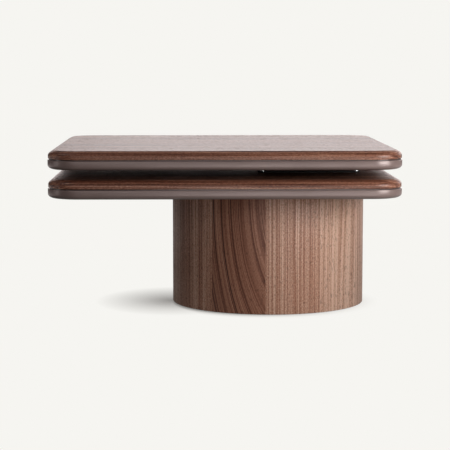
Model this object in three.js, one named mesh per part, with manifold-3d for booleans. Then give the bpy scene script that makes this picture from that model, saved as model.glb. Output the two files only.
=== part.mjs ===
// Swivel coffee table: two equal rounded tops on a drum base, the upper one turning on a ball bearing.
// Millimetres, +Z up. The origin is on the floor below the middle of the tops; +X runs along their long
// side and the front is -Y. Each top is a walnut veneered board over a lacquered panel, with a narrow
// groove between them. The swivel stands between the tops, beyond the drum's middle, so that the upper
// top swings out past the lower one.
import * as THREE from "three";
import { mergeVertices } from "three/addons/utils/BufferGeometryUtils.js";
import Module from "manifold-3d";

// Tops
const topWidth = 840; // X, over the lacquered panel
const topDepth = 750; // Y, over the lacquered panel
const panelCornerRadius = 76; // plan radius of the panel's corners
const boardThickness = 20;
const boardSetback = 1; // the board's side stands this far inside the panel's
const boardRoundReach = 15; // width of the rounded upper edge, seen from above
const boardRoundDrop = 13; // height of the rounded upper edge, seen from the side
const boardRoundTurn = Math.PI / 3; // turned from the upright side to the arris along the flat face
const boardUnderRound = 1;
const grooveHeight = 3; // shadow groove between board and panel
const grooveDepth = 3.5;
const panelThickness = 22;
const panelLipRound = 1.2; // small round where the panel's side meets its upper face
const panelUnderRound = 15; // large round where the panel's side meets its underside

// Drum base
const underPanelHeight = 295; // floor to the lower panel's underside
const drumRadius = 244;
const drumEndDistance = 60; // from the tops' +X end to the drum's side
const drumWall = 16;
const drumEdgeRound = 1.5; // eased upper and lower edge of the shell
const drumFloorGap = 2; // shadow line between the shell and the floor
const drumDiscThickness = 18;
const bottomRingWidth = 78;
const bottomRingRise = 4; // the bottom ring stands this far above the shell's lower edge
const ribThickness = 18;

// Bolts that hold the drum to the lower panel
const boltRadius = 4;
const boltHeadRadius = 7.5; // over the corners of the hexagon
const boltHeadHeight = 5.3;
const boltTipGap = 3; // insert left beyond the bolt's tip
const boltEdgeDistance = 58; // from the edge of the drum's top disc to the bolts
const washerRadius = 12;
const washerThickness = 2;
const insertRadius = 6;
const insertCover = 8; // panel left over the insert

// Floor glides
const glideRadius = 15;
const glideEdgeRound = 1.5;
const glideStemRadius = 4;
const glideStemCover = 5; // bottom ring left over the stem
const glideCount = 6;

// Swivel bearing
const pivotEndDistance = 207; // from the tops' +X end to the swivel's axis
const plateSide = 254;
const plateCornerRadius = 14;
const plateSheet = 2.5;
const plateDishRise = 2.2; // the plate's middle is pressed away from its corners by this much
const plateDishMargin = 6; // from the plate's side to the foot of the pressed step
const plateDishRun = 3; // width of the pressed step
const plateBoreMargin = 30; // sheet left inside the race
const ballRadius = 4;
const ballCount = 12;
const raceWall = 3; // metal behind the ball groove
const raceEdgeMargin = 5; // from the outer race to the pressed step
const raceRim = 0.7; // metal over the end of the ball groove
const raceLipShare = 0.62; // pitch circle to the race's lips, as a share of the groove's radius
const retainerThickness = 2;
const retainerWeb = 1.6; // retainer left under each ball's pocket
const retainerSnap = 2.2; // height of the retainer's fingers over the balls' centres

// Screws of the swivel plates
const screwInset = 10; // from the plate's sides to the screw
const screwShankRadius = 2.2;
const screwHeadRadius = 4.5;
const screwHeadHeight = 2.4;
const screwFlangeRadius = 6.5;
const screwFlangeThickness = 1.1;
const screwCover = 7; // wood left beyond the screw's point
const screwTipLength = 4;
const screwCrownShare = 0.7; // radius of the flat crown of the head, as a share of the head's radius

// Clearances
const seat = 0.3; // between pieces that rest on or in each other
const runningClearance = 0.35; // round the balls
const sweepClearance = 0.6; // between the retainer and the plates
const holeClearance = 0.5; // round a bolt
const cutOverrun = 1; // how far a cutting tool runs past the face that it cuts
const leastCornerRadius = 1; // plan radius that a deeply set-back edge keeps

// Smoothness of the round forms
const cornerSteps = 7;
const boardRoundSteps = 6;
const panelRoundSteps = 6;
const smallRoundSteps = 2;
const drumSegments = 64;
const raceSegments = 40;
const plateCurveSteps = 10;
const grooveSteps = 4;
const pocketSegments = 12;
const screwSegments = 10;
const boltSegments = 12;
const boltHeadSides = 6;
const glideSegments = 16;
const ballSegments = 10;
const ballRings = 6;

// Places, heights and radii that follow from the sizes above
const quarterTurn = Math.PI / 2;
const drumOffset = topWidth / 2 - drumEndDistance - drumRadius; // middle of the tops to the drum's axis
const pivotOffset = topWidth / 2 - pivotEndDistance; // middle of the tops to the swivel's axis
const topThickness = boardThickness + grooveHeight + panelThickness;
const lowerTopHeight = underPanelHeight + topThickness;
const grooveRadius = ballRadius + runningClearance;
const halfTrack = grooveRadius + retainerWeb + sweepClearance; // ball centre to either plate
const plateReach = seat + plateDishRise + plateSheet; // a top's face to its plate's inner face
const ballHeight = lowerTopHeight + plateReach + halfTrack;
const upperPanelHeight = ballHeight + halfTrack + plateReach;
const dishFootRadius = plateSide / 2 - plateDishMargin;
const dishTopRadius = dishFootRadius - plateDishRun;
const pitchRadius = dishTopRadius - raceEdgeMargin - raceWall - grooveRadius;
const innerRaceRadius = pitchRadius - grooveRadius - raceWall;
const plateBoreRadius = innerRaceRadius - plateBoreMargin;
const raceFacetGrowth = 1 / Math.cos(Math.PI / raceSegments); // puts a facet's middle on its radius
const screwOffset = plateSide / 2 - screwInset;
const screwDepth = Math.min(boardThickness, panelThickness) - screwCover; // of the point in the wood
const screwLength = plateSheet + 2 * seat + screwDepth;
const discRadius = drumRadius - drumWall - seat;
const drumTopHeight = underPanelHeight - seat;
const bottomRingHeight = drumFloorGap + bottomRingRise;
const boltCircleRadius = discRadius - boltEdgeDistance;
const boltAngles = [1, 3, 5, 7].map((eighth) => (eighth * quarterTurn) / 2); // midway between the ribs
const ribReach = (drumRadius - drumWall) * Math.cos(Math.PI / drumSegments) - seat; // axis to rib's ends
const insertLength = panelThickness - insertCover;
const glideStemLength = drumDiscThickness - glideStemCover;

const walnut = finish(0x7a5040, 0.45, 0);
const taupeLacquer = finish(0x6e5f5a, 0.35, 0.15);
const rawBoard = finish(0xa98f70, 0.85, 0);
const blackSteel = finish(0x0c0b0b, 0.5, 0.3);
const zincSteel = finish(0xb9bcbf, 0.3, 1);
const ballSteel = finish(0xd4d6d8, 0.15, 1);
const brass = finish(0xb59a5b, 0.35, 1);
const blackNylon = finish(0x1a1a1b, 0.6, 0);
const feltGrey = finish(0x3b3836, 0.95, 0);

const wasm = await Module();
wasm.setup();

function finish(color, roughness, metalness) {
  return new THREE.MeshStandardMaterial({ color, roughness, metalness });
}

// A closed geometry as a solid that can be joined and cut.
function solidOf(geometry) {
  const bare = geometry.clone();
  bare.deleteAttribute("normal");
  bare.deleteAttribute("uv");
  const merged = mergeVertices(bare);
  return new wasm.Manifold(
    new wasm.Mesh({
      numProp: 3,
      vertProperties: merged.attributes.position.array,
      triVerts: new Uint32Array(merged.index.array),
    }),
  );
}

// A solid's surface as a geometry.
function geometryOf(solid) {
  const surface = solid.getMesh();
  const geometry = new THREE.BufferGeometry();
  geometry.setAttribute("position", new THREE.BufferAttribute(surface.vertProperties, 3));
  geometry.setIndex(new THREE.BufferAttribute(surface.triVerts, 1));
  return geometry;
}

function piece(name, shape, material) {
  const geometry = shape.isBufferGeometry ? shape : geometryOf(shape);
  const mesh = new THREE.Mesh(geometry, material);
  mesh.name = name;
  return mesh;
}

// The solid less each of the tools.
function cut(solid, tools) {
  return tools.reduce((rest, tool) => rest.subtract(tool), solid);
}

// A revolved geometry round Z from [radius, height] points, listed up the outside and down the inside.
function revolve(points, segments) {
  const outline = points.map(([radius, height]) => new THREE.Vector2(radius, height));
  outline.push(outline[0].clone());
  return new THREE.LatheGeometry(outline, segments).rotateX(quarterTurn);
}

// A solid rod along Z whose radius changes with height: [radius, height] points from bottom to top.
function turned(points, segments) {
  const outline = points.map(([radius, height]) => new THREE.Vector2(radius, height));
  return new THREE.LatheGeometry(outline, segments).rotateX(quarterTurn);
}

function rod(radius, bottom, top, segments) {
  return turned([[0, bottom], [radius, bottom], [radius, top], [0, top]], segments);
}

// A rod's solid with its axis at x, y.
function bore(radius, bottom, top, segments, x, y) {
  return solidOf(rod(radius, bottom, top, segments).translate(x, y, 0));
}

// The points of a rounded rectangle set inwards by inset, anticlockwise.
function roundedOutline(width, depth, radius, inset) {
  const middleX = width / 2 - radius;
  const middleY = depth / 2 - radius;
  const arcRadius = Math.max(radius - inset, leastCornerRadius);
  const shift = radius - inset - arcRadius;
  const corners = [[1, 1], [-1, 1], [-1, -1], [1, -1]];
  return corners.flatMap(([sideX, sideY], corner) => {
    const arc = [];
    for (let step = 0; step <= cornerSteps; step += 1) {
      const angle = (corner + step / cornerSteps) * quarterTurn;
      arc.push([
        sideX * (middleX + shift) + arcRadius * Math.cos(angle),
        sideY * (middleY + shift) + arcRadius * Math.sin(angle),
      ]);
    }
    return arc;
  });
}

// A closed sheet with a rounded rectangular plan, lofted upwards through [inset, height] edges.
function loftedSheet(edges) {
  const rings = edges.map(([inset, height]) =>
    roundedOutline(topWidth, topDepth, panelCornerRadius, inset).map(([x, y]) => [x, y, height]),
  );
  const count = rings[0].length;
  const positions = rings.flat();
  const lowerMiddle = positions.push([0, 0, edges[0][1]]) - 1;
  const upperMiddle = positions.push([0, 0, edges[edges.length - 1][1]]) - 1;
  const lastRing = (rings.length - 1) * count;
  const faces = [];
  for (let point = 0; point < count; point += 1) {
    const next = (point + 1) % count;
    faces.push(lowerMiddle, next, point, upperMiddle, lastRing + point, lastRing + next);
    for (let ring = 0; ring < lastRing; ring += count) {
      faces.push(ring + point, ring + next, ring + count + next);
      faces.push(ring + point, ring + count + next, ring + count + point);
    }
  }
  const geometry = new THREE.BufferGeometry();
  geometry.setAttribute("position", new THREE.Float32BufferAttribute(positions.flat(), 3));
  geometry.setIndex(faces);
  return geometry;
}

// Edge points from an upright side onto the flat face above it: part of an ellipse, which meets the face
// at an arris when it turns less than a quarter.
function roundAbove(setback, face, reach, drop, turn, steps) {
  const points = [];
  for (let step = 0; step <= steps; step += 1) {
    const angle = (turn * step) / steps;
    const inset = (reach * (1 - Math.cos(angle))) / (1 - Math.cos(turn));
    const fall = drop * (1 - Math.sin(angle) / Math.sin(turn));
    points.push([setback + inset, face - fall]);
  }
  return points;
}

// Edge points of a quarter round from a flat underside up to the side.
function roundBelow(setback, face, radius, steps) {
  return roundAbove(setback, 0, radius, radius, quarterTurn, steps)
    .map(([inset, height]) => [inset, face - height])
    .reverse();
}

// The veneered board: a small round below and a wide round above, up to the arris of the flat face.
function boardSolid(bottom) {
  const top = bottom + boardThickness;
  const drop = Math.min(boardRoundDrop, boardThickness - 2 * boardUnderRound);
  return solidOf(
    loftedSheet([
      ...roundBelow(boardSetback, bottom, boardUnderRound, smallRoundSteps),
      ...roundAbove(boardSetback, top, boardRoundReach, drop, boardRoundTurn, boardRoundSteps),
    ]),
  );
}

// The lacquered panel: a large round below and a small one at the lip above.
function panelSolid(bottom) {
  const top = bottom + panelThickness;
  const round = Math.min(panelUnderRound, panelThickness - 2 * panelLipRound);
  return solidOf(
    loftedSheet([
      ...roundBelow(0, bottom, round, panelRoundSteps),
      ...roundAbove(0, top, panelLipRound, panelLipRound, quarterTurn, smallRoundSteps),
    ]),
  );
}

// The thin sheet between board and panel, set back to leave the groove.
function grooveSheet(bottom) {
  return loftedSheet([
    [grooveDepth, bottom + seat],
    [grooveDepth, bottom + grooveHeight - seat],
  ]);
}

const screwPlaces = [
  [-screwOffset, -screwOffset],
  [screwOffset, -screwOffset],
  [screwOffset, screwOffset],
  [-screwOffset, screwOffset],
];

// A flanged screw along Z with its flange resting on height zero and its point below.
function plateScrew() {
  return turned(
    [
      [0, -screwLength],
      [screwShankRadius, screwTipLength - screwLength],
      [screwShankRadius, 0],
      [screwFlangeRadius, 0],
      [screwFlangeRadius, screwFlangeThickness],
      [screwHeadRadius, screwFlangeThickness],
      [screwHeadRadius * screwCrownShare, screwFlangeThickness + screwHeadHeight],
      [0, screwFlangeThickness + screwHeadHeight],
    ],
    screwSegments,
  );
}

// Holes for the plate's four screws, round the swivel's axis.
function screwHoles(bottom, top) {
  const radius = screwShankRadius + seat;
  return screwPlaces.map(([x, y]) => bore(radius, bottom, top, screwSegments, x, y));
}

// The ball groove's section from its lower to its upper lip; side is 1 on the outer race and -1 on the
// inner one.
function grooveSection(side) {
  const growth = side > 0 ? raceFacetGrowth : 1;
  const reach = Math.acos(raceLipShare);
  const points = [];
  for (let step = 0; step <= grooveSteps; step += 1) {
    const angle = reach * ((2 * step) / grooveSteps - 1);
    const radius = (pitchRadius + side * grooveRadius * Math.cos(angle)) * growth;
    points.push([radius, grooveRadius * Math.sin(angle)]);
  }
  return points;
}

// A pressed plate with its race, seen as the lower one: flat corners below, a round dish pressed upwards
// and the race standing on it. Heights are counted from the balls' centres.
function platePressing(side) {
  const dishFace = -halfTrack;
  const dishBack = dishFace - plateSheet;
  const cornerBack = dishBack - plateDishRise;
  const cornerFace = cornerBack + plateSheet;
  const flangeRadius = plateSide / 2;
  const rim = grooveRadius * Math.sin(Math.acos(raceLipShare)) + raceRim;
  const back = pitchRadius + side * (grooveRadius + raceWall);
  const groove = grooveSection(side);
  const lip = groove[0][0];
  const race =
    side < 0
      ? [[lip, dishFace], ...groove, [lip, rim], [back, rim], [back, dishFace]]
      : [[back, dishFace], [back, rim], [lip, rim], ...groove.reverse(), [lip, dishFace]];
  const dish = revolve(
    [
      [plateBoreRadius, dishBack],
      [dishTopRadius, dishBack],
      [dishFootRadius, cornerBack],
      [flangeRadius, cornerBack],
      [flangeRadius, cornerFace],
      [dishFootRadius, cornerFace],
      [dishTopRadius, dishFace],
      ...race,
      [plateBoreRadius, dishFace],
    ],
    raceSegments,
  );
  const middle = plateSide / 2 - plateCornerRadius;
  const outline = new THREE.Shape();
  outline.absarc(middle, middle, plateCornerRadius, 0, quarterTurn);
  outline.absarc(-middle, middle, plateCornerRadius, quarterTurn, 2 * quarterTurn);
  outline.absarc(-middle, -middle, plateCornerRadius, 2 * quarterTurn, 3 * quarterTurn);
  outline.absarc(middle, -middle, plateCornerRadius, 3 * quarterTurn, 4 * quarterTurn);
  const opening = new THREE.Path();
  opening.absarc(0, 0, (flangeRadius + dishFootRadius) / 2, 0, 4 * quarterTurn);
  outline.holes.push(opening);
  const corners = new THREE.ExtrudeGeometry(outline, {
    depth: plateSheet,
    bevelEnabled: false,
    curveSegments: plateCurveSteps,
  }).translate(0, 0, cornerBack);
  const holes = screwHoles(cornerBack - cutOverrun, cornerFace + cutOverrun);
  return cut(solidOf(dish).add(solidOf(corners)), holes);
}

// The crown-shaped retainer: a band on the pitch circle with a snap-in pocket for each ball.
function retainerSolid() {
  const inner = pitchRadius - retainerThickness / 2;
  const outer = pitchRadius + retainerThickness / 2;
  const bottom = -grooveRadius - retainerWeb;
  const section = [
    [inner, bottom],
    [outer, bottom],
    [outer, retainerSnap],
    [inner, retainerSnap],
  ];
  const drill = rod(grooveRadius, inner - cutOverrun, outer + cutOverrun, pocketSegments);
  drill.rotateY(quarterTurn);
  const pockets = ballAngles().map((angle) => solidOf(drill.clone().rotateZ(angle)));
  return cut(solidOf(revolve(section, raceSegments)), pockets);
}

function ballAngles() {
  return Array.from({ length: ballCount }, (_, index) => (2 * Math.PI * (index + 0.5)) / ballCount);
}

// The lower top: board, groove sheet and panel, at their real place.
function lowerTop() {
  const group = new THREE.Group();
  const pilots = screwHoles(lowerTopHeight - screwDepth - seat, lowerTopHeight + cutOverrun);
  const board = cut(
    boardSolid(lowerTopHeight - boardThickness),
    pilots.map((tool) => tool.translate([pivotOffset, 0, 0])),
  );
  const holeRadius = insertRadius + seat;
  const holeTop = underPanelHeight + insertLength + seat;
  const insertHoles = boltPlaces().map(([x, y]) =>
    bore(holeRadius, underPanelHeight - cutOverrun, holeTop, boltSegments, x + drumOffset, y),
  );
  group.add(
    piece("lower_board", board, walnut),
    piece("lower_groove_sheet", grooveSheet(underPanelHeight + panelThickness), taupeLacquer),
    piece("lower_panel", cut(panelSolid(underPanelHeight), insertHoles), taupeLacquer),
  );
  return group;
}

// The upper top, drawn round the swivel's axis so that its group can be turned.
function upperTop() {
  const group = new THREE.Group();
  const pilots = screwHoles(upperPanelHeight - cutOverrun, upperPanelHeight + screwDepth + seat);
  const panel = cut(panelSolid(upperPanelHeight).translate([-pivotOffset, 0, 0]), pilots);
  const boardBottom = upperPanelHeight + panelThickness + grooveHeight;
  const board = boardSolid(boardBottom).translate([-pivotOffset, 0, 0]);
  const sheet = grooveSheet(upperPanelHeight + panelThickness).translate(-pivotOffset, 0, 0);
  group.add(
    piece("upper_board", board, walnut),
    piece("upper_groove_sheet", sheet, taupeLacquer),
    piece("upper_panel", panel, taupeLacquer),
    upperSwivelHalf(),
  );
  return group;
}

// The lower plate and its screws, round the swivel's axis.
function lowerSwivelHalf() {
  const group = new THREE.Group();
  group.add(piece("swivel_lower_plate", platePressing(-1).translate([0, 0, ballHeight]), blackSteel));
  const flangeHeight = lowerTopHeight + seat + plateSheet + seat;
  screwPlaces.forEach(([x, y], index) => {
    const screw = piece("lower_plate_screw_" + (index + 1), plateScrew(), zincSteel);
    screw.position.set(x, y, flangeHeight);
    group.add(screw);
  });
  return group;
}

// The upper plate is the same pressing upside down, with the race that goes outside the balls.
function upperSwivelHalf() {
  const group = new THREE.Group();
  const plate = geometryOf(platePressing(1)).rotateX(Math.PI).translate(0, 0, ballHeight);
  group.add(piece("swivel_upper_plate", plate, blackSteel));
  const flangeHeight = upperPanelHeight - seat - plateSheet - seat;
  screwPlaces.forEach(([x, y], index) => {
    const screw = piece("upper_plate_screw_" + (index + 1), plateScrew().rotateX(Math.PI), zincSteel);
    screw.position.set(x, y, flangeHeight);
    group.add(screw);
  });
  return group;
}

// The retainer with its balls, which roll round at half the upper top's speed.
function ballTrain() {
  const group = new THREE.Group();
  group.add(piece("ball_retainer", retainerSolid(), blackNylon));
  const sphere = new THREE.SphereGeometry(ballRadius, ballSegments, ballRings);
  ballAngles().forEach((angle, index) => {
    const ball = piece("ball_" + (index + 1), sphere.clone(), ballSteel);
    ball.position.set(pitchRadius * Math.cos(angle), pitchRadius * Math.sin(angle), 0);
    group.add(ball);
  });
  group.position.z = ballHeight;
  return group;
}

// Bolt places round the drum's axis.
function boltPlaces() {
  return boltAngles.map((angle) => [
    boltCircleRadius * Math.cos(angle),
    boltCircleRadius * Math.sin(angle),
  ]);
}

// A turned ring along Z with a bore that clears the bolt.
function boltSleeve(radius, bottom, top) {
  const hole = bore(boltRadius + seat, bottom - cutOverrun, top + cutOverrun, boltSegments, 0, 0);
  return solidOf(rod(radius, bottom, top, boltSegments)).subtract(hole);
}

// Bolt, washer and threaded insert at each place.
function drumFixings() {
  const group = new THREE.Group();
  const washerTop = drumTopHeight - drumDiscThickness - seat;
  const washerBottom = washerTop - washerThickness;
  const headTop = washerBottom - seat;
  const headBottom = headTop - boltHeadHeight;
  const headMiddle = (headTop + headBottom) / 2;
  const insertTop = underPanelHeight + insertLength;
  boltPlaces().forEach(([x, y], index) => {
    const number = index + 1;
    const head = solidOf(rod(boltHeadRadius, headBottom, headTop, boltHeadSides));
    const shank = solidOf(rod(boltRadius, headMiddle, insertTop - boltTipGap, boltSegments));
    const washer = boltSleeve(washerRadius, washerBottom, washerTop);
    const insert = boltSleeve(insertRadius, underPanelHeight, insertTop);
    const fixings = [
      piece("drum_bolt_" + number, head.add(shank), zincSteel),
      piece("drum_washer_" + number, washer, zincSteel),
      piece("panel_insert_" + number, insert, brass),
    ];
    fixings.forEach((fixing) => fixing.position.set(x, y, 0));
    group.add(...fixings);
  });
  return group;
}

// The shell: an open tube with eased edges.
function drumShell() {
  const inner = drumRadius - drumWall;
  return revolve(
    [
      [inner, drumFloorGap],
      [drumRadius - drumEdgeRound, drumFloorGap],
      [drumRadius, drumFloorGap + drumEdgeRound],
      [drumRadius, drumTopHeight - drumEdgeRound],
      [drumRadius - drumEdgeRound, drumTopHeight],
      [inner, drumTopHeight],
    ],
    drumSegments,
  );
}

function drumTopDisc() {
  const underside = drumTopHeight - drumDiscThickness;
  const disc = solidOf(rod(discRadius, underside, drumTopHeight, drumSegments));
  const holeRadius = boltRadius + holeClearance;
  const holes = boltPlaces().map(([x, y]) =>
    bore(holeRadius, underside - cutOverrun, drumTopHeight + cutOverrun, boltSegments, x, y),
  );
  return cut(disc, holes);
}

function glidePlaces() {
  const circle = discRadius - bottomRingWidth / 2;
  return Array.from({ length: glideCount }, (_, index) => {
    const angle = (2 * Math.PI * (index + 0.5)) / glideCount;
    return [circle * Math.cos(angle), circle * Math.sin(angle)];
  });
}

function drumBottomRing() {
  const inner = discRadius - bottomRingWidth;
  const top = bottomRingHeight + drumDiscThickness;
  const section = [
    [inner, bottomRingHeight],
    [discRadius, bottomRingHeight],
    [discRadius, top],
    [inner, top],
  ];
  const holeRadius = glideStemRadius + seat;
  const holeTop = bottomRingHeight + glideStemLength + seat;
  const holes = glidePlaces().map(([x, y]) =>
    bore(holeRadius, bottomRingHeight - cutOverrun, holeTop, screwSegments, x, y),
  );
  return cut(solidOf(revolve(section, drumSegments)), holes);
}

// One of the two crossed ribs, along X; the slot is cut from its upper or its lower edge.
function drumRib(slotFromTop) {
  const bottom = bottomRingHeight + drumDiscThickness + seat;
  const top = drumTopHeight - drumDiscThickness - seat;
  const halfLength = Math.sqrt(ribReach ** 2 - (ribThickness / 2) ** 2);
  const halfSlot = ribThickness / 2 + seat;
  const middle = (bottom + top) / 2;
  const profile = [
    [halfLength, bottom],
    [halfLength, top],
    [-halfLength, top],
    [-halfLength, bottom],
  ];
  const slotEnd = slotFromTop ? middle - seat : middle + seat;
  const slotMouth = slotFromTop ? top : bottom;
  const slot = [
    [halfSlot, slotMouth],
    [halfSlot, slotEnd],
    [-halfSlot, slotEnd],
    [-halfSlot, slotMouth],
  ];
  if (slotFromTop) profile.splice(2, 0, ...slot);
  else profile.push(...slot.reverse());
  const outline = new THREE.Shape(profile.map(([x, z]) => new THREE.Vector2(x, z)));
  return new THREE.ExtrudeGeometry(outline, { depth: ribThickness, bevelEnabled: false })
    .translate(0, 0, -ribThickness / 2)
    .rotateX(quarterTurn);
}

// A glide: a flat foot with an eased edge and a stem that is pressed into the bottom ring.
function floorGlide() {
  const footTop = bottomRingHeight - seat;
  return turned(
    [
      [0, 0],
      [glideRadius - glideEdgeRound, 0],
      [glideRadius, glideEdgeRound],
      [glideRadius, footTop],
      [glideStemRadius, footTop],
      [glideStemRadius, bottomRingHeight + glideStemLength],
      [0, bottomRingHeight + glideStemLength],
    ],
    glideSegments,
  );
}

function drumBase() {
  const group = new THREE.Group();
  group.add(
    piece("drum_shell", drumShell(), walnut),
    piece("drum_top_disc", drumTopDisc(), rawBoard),
    piece("drum_bottom_ring", drumBottomRing(), rawBoard),
    piece("drum_rib_lengthwise", drumRib(true), rawBoard),
    piece("drum_rib_crosswise", drumRib(false).rotateZ(quarterTurn), rawBoard),
    drumFixings(),
  );
  glidePlaces().forEach(([x, y], index) => {
    const glide = piece("floor_glide_" + (index + 1), floorGlide(), feltGrey);
    glide.position.set(x, y, 0);
    group.add(glide);
  });
  group.position.x = drumOffset;
  return group;
}

const swivel = new THREE.Group();
swivel.position.x = pivotOffset;
swivel.add(lowerSwivelHalf(), ballTrain(), upperTop());

const table = new THREE.Group();
table.name = "swivel_coffee_table";
table.add(drumBase(), lowerTop(), swivel);

export default table;
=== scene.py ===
"""Swivel coffee table: two equal rounded walnut tops on a drum, the upper one turning on a ball bearing.

Everything is in metres, +Z up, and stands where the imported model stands. Each sub-assembly is a class that
models its own pieces round the frame's nodes and dresses them. Each finish is a small class that builds one
material. The studio comes last.
"""

import logging
import math
from collections.abc import Callable, Iterator, Sequence
from contextlib import contextmanager
from dataclasses import dataclass, field
from enum import Enum

import bmesh
import bpy
from bpy.types import Material, Node, NodeSocket, NodeTree, Object
from mathutils import Matrix, Vector

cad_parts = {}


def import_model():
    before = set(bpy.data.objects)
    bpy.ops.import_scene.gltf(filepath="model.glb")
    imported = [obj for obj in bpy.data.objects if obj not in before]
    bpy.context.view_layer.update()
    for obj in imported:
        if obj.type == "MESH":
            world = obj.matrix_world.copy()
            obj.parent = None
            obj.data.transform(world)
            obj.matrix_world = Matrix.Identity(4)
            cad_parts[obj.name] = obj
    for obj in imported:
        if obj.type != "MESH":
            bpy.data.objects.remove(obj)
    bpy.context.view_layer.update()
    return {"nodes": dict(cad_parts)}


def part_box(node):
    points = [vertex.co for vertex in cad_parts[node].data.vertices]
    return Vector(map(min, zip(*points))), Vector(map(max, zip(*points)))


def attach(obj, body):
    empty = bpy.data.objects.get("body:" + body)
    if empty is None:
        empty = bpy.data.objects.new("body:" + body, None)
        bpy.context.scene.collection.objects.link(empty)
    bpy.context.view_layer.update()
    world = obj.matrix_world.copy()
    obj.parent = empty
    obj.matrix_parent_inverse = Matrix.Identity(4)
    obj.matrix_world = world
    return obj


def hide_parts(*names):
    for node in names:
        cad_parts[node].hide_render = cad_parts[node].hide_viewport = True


LOG = logging.getLogger("swivel_table")
FULL_TURN = 2 * math.pi
QUARTER_TURN = math.pi / 2

# Points closer than the weld distance are one, a cutting solid stands out past its piece by the overrun, and
# a face counts as level when its normal's upright part is above the share.
WELD_DISTANCE = 1e-6
CUT_OVERRUN = 0.001
LEVEL_FACE_SHARE = 0.9

# The range of a share, and the range that most of a noise's values lie in.
WHOLE_SPAN = (0.0, 1.0)
NOISE_SPAN = (0.25, 0.75)

Outline = Sequence[tuple[float, float]]
Span = tuple[float, float]


class Body(Enum):
    """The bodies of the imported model."""

    BASE = "base"
    BALL_TRAIN = "ball_train"
    UPPER_TOP = "upper_top"


class Joinery(Enum):
    """How one solid is worked with another."""

    CUT = "DIFFERENCE"
    WELD = "UNION"
    KEEP_SHARED = "INTERSECT"


class GrainRun(Enum):
    """The way the walnut's grain runs on a piece."""

    LENGTHWISE = "along the tops"
    UPRIGHT = "up the drum"


def linear(colour: str) -> tuple[float, float, float, float]:
    """Turn an sRGB hex colour into linear light.

    Args:
        colour: six hex digits after a hash.

    Returns:
        Red, green, blue and full opacity.
    """
    shares = [int(colour[place : place + 2], 16) / 255 for place in (1, 3, 5)]
    red, green, blue = (
        share / 12.92 if share <= 0.04045 else ((share + 0.055) / 1.055) ** 2.4 for share in shares
    )
    return red, green, blue, 1.0


class Field:
    """A number that varies from point to point, which maths nodes work out."""

    def __init__(self, socket: NodeSocket) -> None:
        """Take the socket that gives the number."""
        self.socket = socket

    @staticmethod
    def parts(vector: NodeSocket, kind: str = "ShaderNodeSeparateXYZ") -> list["Field"]:
        """Split a vector or a colour into its numbers, by a separating node of that kind."""
        return [Field(part) for part in add_node(vector.id_data, kind, {0: vector}).outputs]

    def worked(self, operation: str, *others: "Field | float") -> "Field":
        """Work it by the maths node's operation of that name, with the other terms if there are any."""
        inputs = dict(enumerate((self, *others)))
        maths = add_node(self.socket.id_data, "ShaderNodeMath", inputs, operation=operation)
        return Field(maths.outputs[0])

    def __add__(self, other: "Field | float") -> "Field":
        """Add another term."""
        return self.worked("ADD", other)

    def __sub__(self, other: "Field | float") -> "Field":
        """Take another term away."""
        return self.worked("SUBTRACT", other)

    def __mul__(self, other: "Field | float") -> "Field":
        """Multiply by another term."""
        return self.worked("MULTIPLY", other)

    def __truediv__(self, other: "Field | float") -> "Field":
        """Divide by another term."""
        return self.worked("DIVIDE", other)

    def rest(self) -> "Field":
        """What is missing to one."""
        return self * -1.0 + 1.0

    def highest(self, *others: "Field | float") -> "Field":
        """Keep the highest of it and the other terms.

        Args:
            others: fields or numbers.

        Returns:
            The highest of them all.
        """
        result = self
        for other in others:
            result = result.worked("MAXIMUM", other)
        return result

    def carried(self, source: Span, target: Span, soft: bool = False) -> "Field":
        """Carry it from one range to another.

        Args:
            source: the range that it comes from.
            target: the range that it goes to, and stays in.
            soft: whether it starts and ends gently.

        Returns:
            The number in its new range.
        """
        inputs = {
            "Value": self,
            "From Min": source[0],
            "From Max": source[1],
            "To Min": target[0],
            "To Max": target[1],
        }
        kind = "SMOOTHSTEP" if soft else "LINEAR"
        ranged = add_node(self.socket.id_data, "ShaderNodeMapRange", inputs, interpolation_type=kind)
        return Field(ranged.outputs[0])


def feed(node: Node, inputs: dict[str | int, object]) -> None:
    """Give a node's inputs what they hold.

    Args:
        node: the node.
        inputs: for each input, by name or number, the field or socket that feeds it, or its value.
    """
    for place, value in inputs.items():
        source = value.socket if isinstance(value, Field) else value
        if isinstance(source, NodeSocket):
            node.id_data.links.new(source, node.inputs[place])
        else:
            node.inputs[place].default_value = source


def add_node(
    tree: NodeTree,
    kind: str,
    inputs: dict[str | int, object] | None = None,
    **settings: object,
) -> Node:
    """Add a node with its settings, values and links.

    Args:
        tree: the node tree that it goes into.
        kind: the node's type name.
        inputs: what its inputs hold, as feed takes it.
        settings: the node's own properties.

    Returns:
        The new node.
    """
    node = tree.nodes.new(kind)
    for name, value in settings.items():
        setattr(node, name, value)
    feed(node, inputs or {})
    return node


def new_material(name: str) -> tuple[Material, NodeTree, Node]:
    """Start a node material.

    Args:
        name: the material's name.

    Returns:
        The material, its node tree and its Principled shader, which is linked to the output.
    """
    material = bpy.data.materials.new(name)
    material.use_nodes = True
    tree = material.node_tree
    tree.nodes.clear()
    shader = add_node(tree, "ShaderNodeBsdfPrincipled")
    add_node(tree, "ShaderNodeOutputMaterial", {"Surface": shader.outputs[0]})
    return material, tree, shader


def fill_ramp(ramp: Node, stops: Sequence[tuple[float, Sequence[float]]], stepped: bool = False) -> None:
    """Set a colour ramp's stops.

    Args:
        ramp: the ramp node.
        stops: position and colour of each stop, in order.
        stepped: whether each colour holds until the next stop.
    """
    band = ramp.color_ramp
    band.interpolation = "CONSTANT" if stepped else "LINEAR"
    while len(band.elements) < len(stops):
        band.elements.new(1.0)
    for element, (position, colour) in zip(band.elements, stops):
        element.position = position
        element.color = colour


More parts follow.
